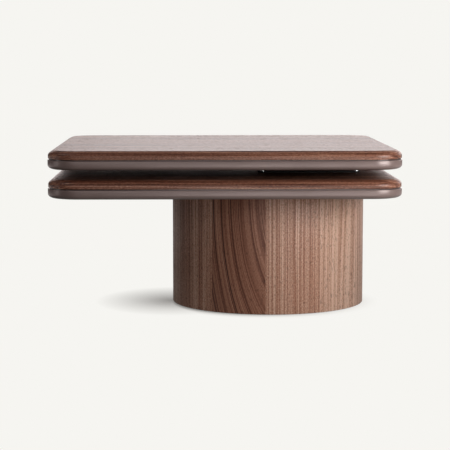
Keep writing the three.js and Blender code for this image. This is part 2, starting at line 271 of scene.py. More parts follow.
def colour_output(mix: Node) -> NodeSocket:
    """Find the colour output of a mix node, which also has outputs for numbers."""
    return next(output for output in mix.outputs if output.type == "RGBA")


def take_up(piece: Object) -> None:
    """Make a piece the only selected object and the active one.

    Args:
        piece: the piece.
    """
    bpy.ops.object.select_all(action="DESELECT")
    piece.select_set(True)
    bpy.context.view_layer.objects.active = piece


def settle(name: str) -> Object:
    """Name the primitive that was just added and write its place into its mesh.

    Args:
        name: the piece's name.

    Returns:
        The piece, with its object at the origin.
    """
    piece = bpy.context.active_object
    take_up(piece)
    piece.name = name
    piece.data.name = name
    bpy.ops.object.transform_apply(location=True, rotation=True, scale=True)
    return piece


@contextmanager
def edit_mode(piece: Object) -> Iterator[None]:
    """Work on a piece in edit mode, with nothing selected at first.

    Args:
        piece: the piece.

    Yields:
        Nothing; the piece is back in object mode afterwards.
    """
    take_up(piece)
    bpy.ops.object.mode_set(mode="EDIT")
    bpy.ops.mesh.select_all(action="DESELECT")
    try:
        yield
    finally:
        bpy.ops.object.mode_set(mode="OBJECT")


def pick_faces(piece: Object, wanted: Callable[[Vector, Vector], bool]) -> None:
    """Select faces in edit mode.

    Args:
        piece: the piece in edit mode.
        wanted: says from a face's centre and normal whether it is selected.
    """
    bpy.ops.mesh.select_mode(type="FACE")
    bpy.ops.mesh.select_all(action="DESELECT")
    mesh = bmesh.from_edit_mesh(piece.data)
    mesh.normal_update()
    for face in mesh.faces:
        if wanted(face.calc_center_median(), face.normal):
            face.select_set(True)
    bmesh.update_edit_mesh(piece.data)


def pick_edges(piece: Object, wanted: Callable[[Vector, Vector], bool]) -> None:
    """Select edges in edit mode.

    Args:
        piece: the piece in edit mode.
        wanted: says from an edge's two ends whether it is selected.
    """
    bpy.ops.mesh.select_mode(type="EDGE")
    bpy.ops.mesh.select_all(action="DESELECT")
    mesh = bmesh.from_edit_mesh(piece.data)
    for edge in mesh.edges:
        if wanted(edge.verts[0].co, edge.verts[1].co):
            edge.select_set(True)
    bmesh.update_edit_mesh(piece.data)


def axis_of(node: str) -> Vector:
    """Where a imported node's upright axis meets the floor."""
    low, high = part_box(node)
    return Vector(((low.x + high.x) / 2, (low.y + high.y) / 2, 0))


def block(name: str, low: Vector, high: Vector) -> Object:
    """Add a cube stretched between two corners.

    Args:
        name: the piece's name.
        low: its lowest corner.
        high: its highest corner.

    Returns:
        The block, to be shaped further.
    """
    bpy.ops.object.select_all(action="DESELECT")
    bpy.ops.mesh.primitive_cube_add(size=1, location=(low + high) / 2)
    bpy.context.active_object.scale = high - low
    return settle(name)


def round_uprights(piece: Object, radius: float, steps: int) -> None:
    """Round the upright edges of a block.

    Args:
        piece: the block.
        radius: the plan radius of its corners.
        steps: facets in each corner.
    """
    with edit_mode(piece):
        pick_edges(piece, lambda start, end: (start.xy - end.xy).length < WELD_DISTANCE)
        bpy.ops.mesh.bevel(offset=radius, offset_type="OFFSET", segments=steps, profile=0.5, affect="EDGES")


@dataclass(frozen=True)
class EdgeRound:
    """An elliptic round from a slab's side to its upper or lower face.

    A turn of less than a quarter leaves an arris where the round meets the side. The margin is the width of
    a last flat ring, which keeps the round's shading off the face.
    """

    reach: float
    drop: float
    steps: int
    turn: float = QUARTER_TURN
    margin: float = 0.002

    def shape(self, piece: Object, upwards: bool) -> None:
        """Grow the round from one face of a slab, ring by ring.

        Args:
            piece: the slab, whose face stands where the round starts.
            upwards: whether the face looks up.
        """
        facing = 1 if upwards else -1
        with edit_mode(piece):
            pick_faces(piece, lambda centre, normal: normal.z * facing > LEVEL_FACE_SHARE)
            for step in range(self.steps):
                start = self.turn * step / self.steps
                end = self.turn * (step + 1) / self.steps
                inset = self.reach * (math.cos(start) - math.cos(end)) / (1 - math.cos(self.turn))
                rise = self.drop * (math.sin(end) - math.sin(start)) / math.sin(self.turn)
                bpy.ops.mesh.inset(thickness=inset, depth=rise, use_even_offset=True)
            bpy.ops.mesh.inset(thickness=self.margin, depth=0, use_even_offset=True)


def turn(name: str, axis: Vector, outline: Outline, count: int, closed: bool = False) -> Object:
    """Turn a piece about an upright axis, by extruding and scaling a ring along its outline.

    Args:
        name: the piece's name.
        axis: a point on the axis; the outline's heights count from it.
        outline: (radius, height) points. The first radius is never zero.
        count: facets round the piece.
        closed: whether the outline joins its own start, as on a ring; otherwise the open ends are capped.

    Returns:
        The turned piece.
    """
    points = [*outline, outline[0]] if closed else list(outline)
    radius, height = points[0]
    bpy.ops.object.select_all(action="DESELECT")
    bpy.ops.mesh.primitive_circle_add(
        vertices=count, radius=radius, fill_type="NOTHING", location=axis + Vector((0, 0, height))
    )
    piece = settle(name)
    with edit_mode(piece):
        bpy.ops.mesh.select_mode(type="EDGE")
        bpy.ops.mesh.select_all(action="SELECT")
        for next_radius, next_height in points[1:]:
            rise = (0, 0, next_height - height)
            bpy.ops.mesh.extrude_edges_move(TRANSFORM_OT_translate={"value": rise})
            growth = next_radius / radius
            bpy.ops.transform.resize(value=(growth, growth, 1), center_override=axis)
            radius, height = next_radius, next_height
            if radius == 0:
                break
        bpy.ops.mesh.select_all(action="SELECT")
        bpy.ops.mesh.remove_doubles(threshold=WELD_DISTANCE)
        if not closed:
            bpy.ops.mesh.fill_holes(sides=0)
        bpy.ops.mesh.select_all(action="SELECT")
        bpy.ops.mesh.normals_make_consistent(inside=False)
    return piece


def work(piece: Object, tool: Object, joinery: Joinery) -> None:
    """Cut or weld a piece with another, which is used up.

    Args:
        piece: the piece that is kept.
        tool: the solid that it is worked with.
        joinery: what is done.
    """
    modifier = piece.modifiers.new(joinery.name.lower(), "BOOLEAN")
    modifier.operation = joinery.value
    modifier.solver = "EXACT"
    modifier.object = tool
    take_up(piece)
    bpy.ops.object.modifier_apply(modifier=modifier.name)
    bpy.data.objects.remove(tool)


def drill(
    piece: Object, places: Sequence[Vector], radius: float, low: float, high: float, facets: int = 24
) -> None:
    """Drill equal upright holes in a piece.

    Args:
        piece: the piece.
        places: a point on each hole's axis.
        radius: the holes' radius.
        low: where they start, counted from their places.
        high: where they end.
        facets: how many flats stand for each hole's round.
    """
    bits = [turn("drill", place, [(radius, low), (radius, high)], facets) for place in places]
    work(piece, join(bits), Joinery.CUT)


def join(pieces: Sequence[Object]) -> Object:
    """Join loose solids into one object, as for a set of drills.

    Args:
        pieces: the solids. The first gives its name.

    Returns:
        The joined object.
    """
    take_up(pieces[0])
    for piece in pieces[1:]:
        piece.select_set(True)
    bpy.ops.object.join()
    return pieces[0]


def ease_edges(piece: Object, width: float, least_angle: float = 40) -> None:
    """Take the sharpness off a piece's edges with an applied bevel.

    Args:
        piece: the piece.
        width: the bevel's width.
        least_angle: the angle in degrees from which an edge counts as sharp.
    """
    modifier = piece.modifiers.new("eased edges", "BEVEL")
    modifier.width = width
    modifier.segments = 2
    modifier.limit_method = "ANGLE"
    modifier.angle_limit = math.radians(least_angle)
    modifier.use_clamp_overlap = True
    take_up(piece)
    bpy.ops.object.modifier_apply(modifier=modifier.name)


def smooth(piece: Object, sharpest: float = 35) -> None:
    """Shade a piece smooth, apart from edges sharper than an angle in degrees."""
    take_up(piece)
    bpy.ops.object.shade_smooth_by_angle(angle=math.radians(sharpest))


def copy_of(piece: Object, name: str, change: Matrix) -> Object:
    """Copy a piece with a mesh of its own.

    Args:
        piece: the piece that is copied.
        name: the copy's name.
        change: where the copy goes, from the first piece's place.

    Returns:
        The copy, with its object at the origin.
    """
    twin = piece.copy()
    twin.data = piece.data.copy()
    twin.name = name
    twin.data.name = name
    twin.data.transform(change)
    bpy.context.scene.collection.objects.link(twin)
    return twin


def dress(piece: Object, material: Material, slot: str, body: Body, *nodes: str) -> None:
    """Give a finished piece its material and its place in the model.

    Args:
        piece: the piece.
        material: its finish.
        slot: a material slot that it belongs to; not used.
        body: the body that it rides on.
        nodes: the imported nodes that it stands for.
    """
    piece.data.materials.clear()
    piece.data.materials.append(material)
    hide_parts(*nodes)
    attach(piece, body.value)
    LOG.info("%s: %d faces", piece.name, len(piece.data.polygons))


@dataclass(frozen=True)
class LeafSpace:
    """Where a point of the surface lies in its veneer leaf, and how that leaf was cut.

    Attributes:
        along: place along the grain, in metres.
        across: place across the leaf, from its middle.
        stack: place in the log, far from the next leaf's.
        lift: height above the plane of the cut.
        tone: how pale the leaf is, from 0 to 1.
        heart: how far the leaf's middle is from the heart of the log.
        climb: how steeply the grain climbs across the rings.
        figure: how clear the growth lines are, from 0 to 1.
    """

    along: Field
    across: Field
    stack: Field
    lift: Field | float
    tone: Field
    heart: Field
    climb: Field
    figure: Field | float


@dataclass(frozen=True)
class FibreMarks:
    """One layer of marks in the wood: how wide and how long they are in metres, and their finer layers."""

    width: float
    length: float
    detail: float
    raggedness: float = 0.6

    def draw(self, fibres: NodeSocket) -> Field:
        """Draw the marks along the fibres.

        Args:
            fibres: coordinates over the fibres, along them and from leaf to leaf, in metres.

        Returns:
            The noise, round one half.
        """
        tree = fibres.id_data
        scale = (1 / self.width, 1 / self.length, 1 / self.width)
        stretched = add_node(tree, "ShaderNodeMapping", {"Vector": fibres, "Scale": scale}).outputs[0]
        inputs = {"Vector": stretched, "Scale": 1.0, "Detail": self.detail}
        inputs["Roughness"] = self.raggedness
        return Field(add_node(tree, "ShaderNodeTexNoise", inputs).outputs[0])


@dataclass(frozen=True)
class Walnut:
    """American walnut veneer, sliced into leaves, sanded and given a thin satin varnish.

    Far from the heart of the log, slicing shows the eye straight dark stripes, and near it arched growth
    lines. The open pores show as short dark dashes. The varnish gives the level tops a soft sheen.
    """

    run: GrainRun
    axis: Vector = field(default_factory=Vector)
    heartwood: str = "#2a150f"
    brown: str = "#6f402d"
    warm: str = "#ad7b63"
    pale: str = "#dfbaa3"

    # Leaves: their width, how far apart in the log two leaves were, where the tops' middle stands, how many
    # go round the drum, and the angle of the drum's first seam from the front.
    leaf_width: float = 0.14
    leaf_step: float = 0.53
    mid_height: float = 0.33
    leaf_count: int = 11
    first_seam: float = math.radians(-4.0)

    # Growth lines: the width of a few years' growth, drawn as one line because single years are too fine to
    # show, how unevenly they come, and which of them stay faint. A line's darkness is given by its place in
    # that growth, from the pale early wood to the late wood's abrupt end.
    ring_width: float = 0.024
    uneven_years: float = 2.0
    faint_years: Span = (0.3, 0.65)
    line_strengths: Span = (0.4, 1.0)
    line_shares: tuple[Span, ...] = (
        (0.0, 0.0),
        (0.5, 0.1),
        (0.74, 0.3),
        (0.84, 1.0),
        (0.92, 1.0),
        (1.0, 0.0),
    )

    # Log: how deep under the surface its heart lies, and how far the stem wavers, within waves about 420 mm
    # long and 170 mm wide.
    cut_depth: float = 0.132
    drift: float = 0.003
    swell: float = 0.005
    wave_scale: tuple[float, float, float] = (2.4, 6.0, 6.0)
    heart_spread: float = 0.6
    climb_spread: float = 1.0

    # The tops' leaves: tone, distance of their middle from the heart, climb across the rings and figure.
    top_tone: float = 0.46
    top_tone_spread: float = 0.10
    top_heart: Span = (-0.12, -0.05)
    top_climb: float = 0.012
    top_figure: float = 0.15

    # Marks along the fibres. The real pores are about 0.2 mm wide and 3 mm long, too fine to show here, so
    # they and the flecks of cut fibre are drawn coarser.
    bands: FibreMarks = FibreMarks(width=0.008333, length=2.5, detail=3.0)
    streaks: FibreMarks = FibreMarks(width=0.0026316, length=0.8333, detail=2.0)
    flecks: FibreMarks = FibreMarks(width=0.00125, length=0.004545, detail=1.0)
    pores: FibreMarks = FibreMarks(width=0.0015385, length=0.01111, detail=1.0)
    pore_threshold: Span = (0.57, 0.68)

    # How strongly each layer moves the tone, as a share of the way from heartwood to pale, and how far
    # clear growth lines calm the bands and flecks between them.
    band_share: float = 0.28
    streak_share: float = 0.34
    fleck_share: float = 0.23
    line_share: float = 0.40
    pore_share: float = 0.45
    calm_share: float = 0.6

    roughness: float = 0.5
    pore_roughness: float = 0.2
    pore_depth: float = 0.00012
    streak_relief_share: float = 0.35
    relief_strength: float = 0.3
    specular: float = 0.4
    varnish: float = 0.0
    varnish_roughness: float = 0.3

    # Of each leaf round the drum, from the first seam: its tone, how far its middle is from the heart of
    # the log, how much the cut climbs across the rings, and how clear the growth lines are. One half means
    # none for the second and third. The tones are partly the leaves' own and partly painted light: each
    # was set to how bright its leaf looks under the lamps, and the ninth and tenth leaves, on the drum's
    # shaded left, are made paler to lift the shade there.
    leaf_shares: tuple[tuple[float, float, float, float], ...] = (
        (0.75, 0.85, 0.50, 0.25),
        (0.91, 0.72, 0.52, 0.30),
        (0.80, 0.90, 0.50, 0.20),
        (0.52, 0.70, 0.58, 0.50),
        (0.62, 0.85, 0.46, 0.35),
        (0.58, 0.36, 0.60, 0.60),
        (0.50, 0.40, 0.44, 0.45),
        (0.64, 0.78, 0.54, 0.30),
        (0.80, 0.84, 0.50, 0.20),
        (0.69, 0.90, 0.49, 0.20),
        (0.53, 0.78, 0.05, 1.00),
    )

    def build(self) -> Material:
        """Build the material.

        Returns:
            The walnut, with its grain along the tops or up the drum.
        """
        material, tree, shader = new_material(f"satin walnut, grain {self.run.value}")
        space = self._tops_space(tree) if self.run is GrainRun.LENGTHWISE else self._drum_space(tree)
        radius = self._ring_radius(tree, space)
        inputs = {0: radius, 1: space.along, 2: space.stack}
        fibres = add_node(tree, "ShaderNodeCombineXYZ", inputs).outputs[0]
        bands = self.bands.draw(fibres)
        streaks = self.streaks.draw(fibres)
        flecks = self.flecks.draw(fibres)
        pores = self.pores.draw(fibres).carried(self.pore_threshold, WHOLE_SPAN, soft=True)
        calm = space.figure * -self.calm_share + 1.0
        tone = (
            space.tone
            + self._swing(bands, self.band_share) * calm
            + self._swing(streaks, self.streak_share)
            + self._swing(flecks, self.fleck_share) * calm
            - self._growth_lines(tree, radius, bands) * space.figure * self.line_share
        )
        wood = add_node(tree, "ShaderNodeValToRGB", {"Fac": tone})
        shades = (self.heartwood, self.brown, self.warm, self.pale)
        last = len(shades) - 1
        fill_ramp(wood, [(place / last, linear(shade)) for place, shade in enumerate(shades)])
        inputs = {
            "Factor": pores * self.pore_share,
            "A": wood.outputs["Color"],
            "B": linear(self.heartwood),
        }
        pored = add_node(tree, "ShaderNodeMix", inputs, data_type="RGBA")
        dulled = (self.roughness, self.roughness + self.pore_roughness)
        relief = streaks * self.streak_relief_share - pores
        inputs = {"Height": relief, "Strength": self.relief_strength, "Distance": self.pore_depth}
        bump = add_node(tree, "ShaderNodeBump", inputs)
        feed(
            shader,
            {
                "Base Color": colour_output(pored),
                "Roughness": pores.carried(WHOLE_SPAN, dulled),
                "Normal": bump.outputs[0],
                "Specular IOR Level": self.specular,
                "Coat Weight": self.varnish,
                "Coat Roughness": self.varnish_roughness,
            },
        )
        return material

    def _tops_space(self, tree: NodeTree) -> LeafSpace:
        """Split a top into leaves side by side, whose grain runs along it.

        Args:
            tree: the material's node tree.

        Returns:
            The point's place in its leaf.
        """
        along, sideways, height = Field.parts(add_node(tree, "ShaderNodeTexCoord").outputs["Object"])
        leaves = sideways / self.leaf_width
        number = leaves.worked("FLOOR")
        scatter = add_node(tree, "ShaderNodeTexWhiteNoise", {"W": number}, noise_dimensions="1D")
        tone, heart, climb = Field.parts(scatter.outputs["Color"], "ShaderNodeSeparateColor")
        spread = self.top_tone_spread / 2
        return LeafSpace(
            along=along,
            across=(leaves - number - 0.5) * self.leaf_width,
            stack=height + number * self.leaf_step,
            lift=height - self.mid_height,
            tone=tone.carried(WHOLE_SPAN, (self.top_tone - spread, self.top_tone + spread)),
            heart=heart.carried(WHOLE_SPAN, self.top_heart),
            climb=climb.carried(WHOLE_SPAN, (-self.top_climb, self.top_climb)),
            figure=self.top_figure,
        )

    def _drum_space(self, tree: NodeTree) -> LeafSpace:
        """Split the drum into upright leaves.

        Args:
            tree: the material's node tree.

        Returns:
            The point's place in its leaf.
        """
        place = add_node(tree, "ShaderNodeTexCoord").outputs["Object"]
        centred = add_node(tree, "ShaderNodeVectorMath", {0: place, 1: self.axis}, operation="SUBTRACT")
        right, back, height = Field.parts(centred.outputs[0])
        angle = right.worked("ARCTAN2", back * -1.0)
        leaves = (angle - self.first_seam) * (self.leaf_count / FULL_TURN)
        whole = leaves.worked("FLOOR")
        number = whole.worked("FLOORED_MODULO", float(self.leaf_count))
        table = add_node(tree, "ShaderNodeValToRGB", {"Fac": (number + 0.5) / self.leaf_count})
        stops = [(index / self.leaf_count, row) for index, row in enumerate(self.leaf_shares)]
        fill_ramp(table, stops, stepped=True)
        tone, heart, climb = Field.parts(table.outputs["Color"], "ShaderNodeSeparateColor")
        half_heart = self.heart_spread / 2
        half_climb = self.climb_spread / 2
        return LeafSpace(
            along=height,
            across=(leaves - whole - 0.5) * self.leaf_width,
            stack=number * self.leaf_step,
            lift=0.0,
            tone=tone,
            heart=heart.carried(WHOLE_SPAN, (-half_heart, half_heart)),
            climb=climb.carried(WHOLE_SPAN, (-half_climb, half_climb)),
            figure=Field(table.outputs["Alpha"]),
        )

    def _ring_radius(self, tree: NodeTree, space: LeafSpace) -> Field:
        """Distance from the heart of the log, which the growth rings and the fibres follow.

        Args:
            tree: the material's node tree.
            space: the point's place in its leaf.

        Returns:
            The distance in metres.
        """
        stem = add_node(tree, "ShaderNodeCombineXYZ", {0: space.along, 1: space.across, 2: space.stack})
        inputs = {"Vector": stem.outputs[0], "Scale": self.wave_scale}
        waves = add_node(tree, "ShaderNodeMapping", inputs).outputs[0]
        bend = add_node(tree, "ShaderNodeTexNoise", {"Vector": waves, "Scale": 1.0})
        sway, heave, _ = Field.parts(bend.outputs["Color"], "ShaderNodeSeparateColor")
        sideways = space.across + sway.carried(WHOLE_SPAN, (-self.drift, self.drift)) - space.heart
        lifted = heave.carried(WHOLE_SPAN, (-self.swell, self.swell)) + self.cut_depth + space.lift
        depth = space.along * space.climb + lifted
        return (sideways * sideways + depth * depth).worked("SQRT")

    def _growth_lines(self, tree: NodeTree, radius: Field, bands: Field) -> Field:
        """Darkness of the growth lines, from 0 to 1.

        Args:
            tree: the material's node tree.
            radius: distance from the heart of the log.
            bands: noise that makes good years and poor ones.

        Returns:
            The darkness, highest at the end of each year's growth.
        """
        years = radius / self.ring_width + bands * self.uneven_years
        line = add_node(tree, "ShaderNodeValToRGB", {"Fac": years.worked("FRACT")})
        fill_ramp(line, [(place, (level, level, level, 1.0)) for place, level in self.line_shares])
        return Field(line.outputs["Color"]) * bands.carried(self.faint_years, self.line_strengths)

    @staticmethod
    def _swing(noise: Field, share: float) -> Field:
        """Turn a noise round one half into a swing of that share to either side of none."""
        return noise.carried(NOISE_SPAN, (-share, share))


@dataclass(frozen=True)
class Mottle:
    """A fine noise over a whole piece: the size of its spots in metres, and its finer layers."""

    size: float
    detail: float
    distortion: float = 0.0

    def draw(self, tree: NodeTree) -> Field:
        """Draw the noise.

        Args:
            tree: the material's node tree.

        Returns:
            The noise, round one half.
        """
        inputs = {
            "Vector": add_node(tree, "ShaderNodeTexCoord").outputs["Object"],
            "Scale": 1 / self.size,
            "Detail": self.detail,
            "Distortion": self.distortion,
        }
        return Field(add_node(tree, "ShaderNodeTexNoise", inputs).outputs[0])


@dataclass(frozen=True)
class PlainFinish:
    """A finish of one colour that varies a little: in shade, in shine and in a fine relief.

    The shades are the stops that the mottle runs through. The shine follows the relief's noise if
    shine_follows_relief is set, and otherwise the mottle.
    """

    name: str
    shades: tuple[tuple[float, str], ...]
    mottle: Mottle
    roughness: Span
    relief: Mottle | None = None
    relief_depth: float = 0.0
    relief_strength: float = 0.0
    shine_follows_relief: bool = False
    metallic: float = 0.0
    specular: float = 0.5

    def build(self) -> Material:
        """Build the material.

        Returns:
            The finish.
        """
        material, tree, shader = new_material(self.name)
        mottle = self.mottle.draw(tree)
        colour = add_node(tree, "ShaderNodeValToRGB", {"Fac": mottle})
        fill_ramp(colour, [(place, linear(shade)) for place, shade in self.shades])
        relief = self.relief.draw(tree) if self.relief else mottle
        shine = relief if self.shine_follows_relief else mottle
        inputs = {"Height": relief, "Strength": self.relief_strength, "Distance": self.relief_depth}
        bump = add_node(tree, "ShaderNodeBump", inputs)
        feed(
            shader,
            {
                "Base Color": colour.outputs["Color"],
                "Roughness": shine.carried(WHOLE_SPAN, self.roughness),
                "Normal": bump.outputs[0],
                "Metallic": self.metallic,
                "Specular IOR Level": self.specular,
            },
        )
        return material


def satin_lacquer(name: str, colour: str, shade: str, roughness: float) -> PlainFinish:
    """Choose a satin lacquer, sprayed on primed fibreboard.

    Args:
        name: the material's name.
        colour: its usual colour.
        shade: its colour where the coat is a little thicker.
        roughness: its middle roughness.

    Returns:
        The finish.
    """
    # Spraying gives the eye an even colour and a soft shine, broken by an orange peel of about 2 mm. A
    # little metallic pigment deepens the taupe at a slant.
    return PlainFinish(
        name=name,
        shades=((0.3, shade), (0.7, colour)),
        mottle=Mottle(size=0.111, detail=3.0),
        roughness=(roughness - 0.04, roughness + 0.05),
        relief=Mottle(size=0.0022, detail=1.0),
        relief_depth=0.00002,
        relief_strength=0.25,
        shine_follows_relief=True,
        metallic=0.15,
    )


def bare_metal(name: str, colour: str, tint: str, roughness: Span) -> PlainFinish:
    """Choose a bare or plated metal.

    Args:
        name: the material's name.
        colour: its usual colour.
        tint: the colour of its cooler or darker spots.
        roughness: its least and greatest roughness.

    Returns:
        The finish.
    """
    # Plating, grinding or turning leaves a clean mirror-like metal whose shine clouds over in spots of
    # about 4 mm.
    return PlainFinish(
        name=name,
        shades=((0.35, colour), (0.7, tint)),
        mottle=Mottle(size=0.004, detail=3.0),
        roughness=roughness,
        metallic=1.0,
    )


def moulded_plastic(name: str, colour: str, lighter: str, roughness: float) -> PlainFinish:
    """Choose an injection-moulded plastic.

    Args:
        name: the material's name.
        colour: its usual colour.
        lighter: the colour of its raised grains.
        roughness: its roughness.

    Returns:
        The finish.
    """
    # The spark-eroded mould prints an even grain of about 0.9 mm, drawn coarser than the real 0.1 mm, which
    # breaks the light into a dull sheen.
    return PlainFinish(
        name=name,
        shades=((0.35, colour), (0.75, lighter)),
        mottle=Mottle(size=0.0009, detail=2.0),
        roughness=(roughness, roughness),
        relief_depth=0.00004,
        relief_strength=0.3,
    )


# Mild steel sheet, pressed and electrocoated: a thin, even black coat, half matt, worn a little browner in
# soft patches of about 17 mm, over a fine grit of 1.2 mm.
BLACK_STEEL = PlainFinish(
    name="black electrocoated steel",
    shades=((0.4, "#090808"), (0.75, "#131211")),
    mottle=Mottle(size=0.01667, detail=4.0),
    roughness=(0.5, 0.66),
    relief=Mottle(size=0.0012, detail=1.0),
    relief_depth=0.00003,
    relief_strength=0.2,
    specular=0.35,
)

# Medium-density fibreboard, pressed and sanded but not coated: tan and quite matt, flecked with darker and
# paler fibres about 1.6 mm long.
FIBREBOARD = PlainFinish(
    name="bare fibreboard",
    shades=((0.32, "#866b4f"), (0.5, "#a58a6b"), (0.7, "#bfa686")),
    mottle=Mottle(size=0.0016, detail=3.0, distortion=0.6),
    roughness=(0.88, 0.88),
    relief_depth=0.0001,
    relief_strength=0.4,
)


@dataclass
class RoundedTop:
    """One top: a walnut board over a lacquered panel, with a groove sheet set back between them."""

    position: str
    body: Body
    walnut: Material
    lacquer: Material
    # The groove sheet's lacquer is the panels' taupe, darkened as painted shade in the recess.
    groove_lacquer_with_painted_shade: Material
    corner_radius: float = 0.076
    corner_steps: int = 28
    board_round: EdgeRound = EdgeRound(reach=0.015, drop=0.013, steps=10, turn=math.radians(60))
    board_under_round: EdgeRound = EdgeRound(reach=0.001, drop=0.001, steps=3)
    panel_round: EdgeRound = EdgeRound(reach=0.015, drop=0.010, steps=12)
    panel_lip_round: EdgeRound = EdgeRound(reach=0.0012, drop=0.0012, steps=3)
    groove_edge_round: EdgeRound = EdgeRound(reach=0.0002, drop=0.0002, steps=1)

    def build(self) -> None:
        """Model and dress the three layers."""
        eased = self.groove_edge_round
        layers = (
            ("board", "walnut_board", self.board_under_round, self.board_round, self.walnut),
            ("groove_sheet", "recessed_sheet", eased, eased, self.groove_lacquer_with_painted_shade),
            ("panel", "lacquered_panel", self.panel_round, self.panel_lip_round, self.lacquer),
        )
        for node, name, lower, upper, material in layers:
            layer = self._layer(f"{self.position}_{node}", f"{self.position}_{name}", lower, upper)
            slot = "walnut_veneer" if node == "board" else "taupe_lacquer"
            dress(layer, material, slot, self.body, f"{self.position}_{node}")

    def _layer(self, node: str, name: str, lower: EdgeRound, upper: EdgeRound) -> Object:
        """Model one layer in the box of its node.

        Args:
            node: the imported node.
            name: the piece's name.
            lower: the round at its underside.
            upper: the round at its upper face.

        Returns:
            The layer.
        """
        low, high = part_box(node)
        panel_low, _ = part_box(f"{self.position}_panel")
        setback = low.x - panel_low.x
        piece = block(name, low + Vector((0, 0, lower.drop)), high - Vector((0, 0, upper.drop)))
        round_uprights(piece, self.corner_radius - setback, self.corner_steps)
        lower.shape(piece, upwards=False)
        upper.shape(piece, upwards=True)
        smooth(piece)
        return piece


@dataclass
class SwivelBearing:
    """The bearing between the tops: two pressed plates with races, a ball train and the plates' screws.

    Heights in it count from the balls' centres. Both plates are modelled as the lower one, and the upper
    one is then turned over.
    """

    black_steel: Material
    zinc: Material
    ball_steel: Material
    nylon: Material

    # Plates: sheet, corners, and the dish that lifts the race off the corners.
    sheet: float = 0.0025
    corner_radius: float = 0.014
    corner_steps: int = 10
    dish_rise: float = 0.0022
    dish_margin: float = 0.006
    dish_run: float = 0.003
    dish_bend: float = 0.0012
    flange_overlap: float = 0.002
    bore_margin: float = 0.030
    round_count: int = 128

    # Balls, races and retainer. The lip share is the part of the groove's half width that its lip leaves
    # open, which is what snaps over the balls.
    ball_radius: float = 0.004
    ball_count: int = 12
    running_clearance: float = 0.00035
    race_wall: float = 0.003
    race_edge_margin: float = 0.005
    race_rim: float = 0.0007
    race_lip_share: float = 0.62
    groove_steps: int = 12
    retainer_thickness: float = 0.002
    retainer_ease: float = 0.00025

    # Screws: place, shank, thread, flange, head and cross recess. The draft leans the walls of the head and
    # flange inwards, as cold heading does.
    screw_inset: float = 0.010
    seat: float = 0.0003
    shank_radius: float = 0.0022
    thread_pitch: float = 0.0016
    thread_depth: float = 0.0005
    tip_taper_share: float = 0.55
    flange_radius: float = 0.0065
    flange_thickness: float = 0.0011
    flange_foot_ease: float = 0.0002
    flange_rim_ease: float = 0.0001
    head_radius: float = 0.0045
    head_height: float = 0.0024
    wall_share: float = 0.6
    crown_flat_share: float = 0.6
    crown_steps: int = 6
    draft_share: float = 0.07
    recess_width: float = 0.0011
    recess_length: float = 0.0046
    recess_depth: float = 0.0017
    recess_taper_share: float = 0.55
    driven_turn: float = math.radians(37)

    half_side: float = field(init=False)
    centre: Vector = field(init=False)
    corner_back: float = field(init=False)
    dish_face: float = field(init=False)
    groove_radius: float = field(init=False)
    dish_foot: float = field(init=False)
    dish_top: float = field(init=False)
    pitch_radius: float = field(init=False)
    bore_radius: float = field(init=False)

    def __post_init__(self) -> None:
        """Work out what follows from the frame and the sizes."""
        low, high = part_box("swivel_lower_plate")
        self.half_side = (high.x - low.x) / 2
        ball_low, ball_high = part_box("ball_1")
        self.centre = axis_of("swivel_lower_plate") + Vector((0, 0, (ball_low.z + ball_high.z) / 2))
        self.corner_back = low.z - self.centre.z
        self.dish_face = self.corner_back + self.dish_rise + self.sheet
        self.groove_radius = self.ball_radius + self.running_clearance
        self.dish_foot = self.half_side - self.dish_margin
        self.dish_top = self.dish_foot - self.dish_run
        self.pitch_radius = self.dish_top - self.race_edge_margin - self.race_wall - self.groove_radius
        self.bore_radius = self.pitch_radius - self.groove_radius - self.race_wall - self.bore_margin

    def build(self) -> None:
        """Model and dress the plates, the ball train and the screws."""
        self._build_plates()
        self._build_ball_train()
        self._build_screws()

    def _race(self, side: int) -> list[tuple[float, float]]:
        """Outline of a race on its plate, from its outer foot to its inner one, heights from the balls.

        Args:
            side: 1 for the race outside the balls, -1 for the one inside them.

        Returns:
            (radius, height) points.
        """
        reach = math.acos(self.race_lip_share)
        groove = []
        for step in range(self.groove_steps + 1):
            angle = reach * (2 * step / self.groove_steps - 1)
            radius = self.pitch_radius + side * self.groove_radius * math.cos(angle)
            groove.append((radius, self.groove_radius * math.sin(angle)))
        lip = groove[0][0]
        rim = self.groove_radius * math.sin(reach) + self.race_rim
        back = self.pitch_radius + side * (self.groove_radius + self.race_wall)
        inner = [(lip, self.dish_face), *groove, (lip, rim), (back, rim), (back, self.dish_face)]
        return inner if side < 0 else inner[::-1]

    def _plate(self, name: str, side: int) -> Object:
        """Model one pressed plate as the lower one.

        Args:
            name: the piece's name.
            side: 1 for the race outside the balls, -1 for the one inside them.

        Returns:
            The plate, in the lower plate's place.
        """
        dish_back = self.dish_face - self.sheet
        corner_face = self.corner_back + self.sheet
        flange = self.dish_foot + self.flange_overlap
        bend = self.dish_bend
        outline = [
            (self.bore_radius, dish_back),
            (self.dish_top - bend, dish_back),
            (self.dish_foot - bend, self.corner_back),
            (flange, self.corner_back),
            (flange, corner_face),
            (self.dish_foot + bend / 2, corner_face),
            (self.dish_top + bend / 2, self.dish_face),
            *self._race(side),
            (self.bore_radius, self.dish_face),
        ]
        dish = turn("dish", self.centre, outline, self.round_count, closed=True)
        reach = Vector((self.half_side, self.half_side, 0))
        plate = block(
            name,
            self.centre - reach + Vector((0, 0, self.corner_back)),
            self.centre + reach + Vector((0, 0, corner_face)),
        )
        round_uprights(plate, self.corner_radius, self.corner_steps)
        low = self.corner_back - CUT_OVERRUN
        high = corner_face + CUT_OVERRUN
        opening_radius = flange - self.flange_overlap / 2
        opening = [(opening_radius, low), (opening_radius, high)]
        work(plate, turn("opening", self.centre, opening, self.round_count), Joinery.CUT)
        work(plate, dish, Joinery.WELD)
        places = [self.centre + place for place in self._screw_places()]
        drill(plate, places, self.shank_radius + self.seat, low, high, facets=20)
        smooth(plate)
        return plate

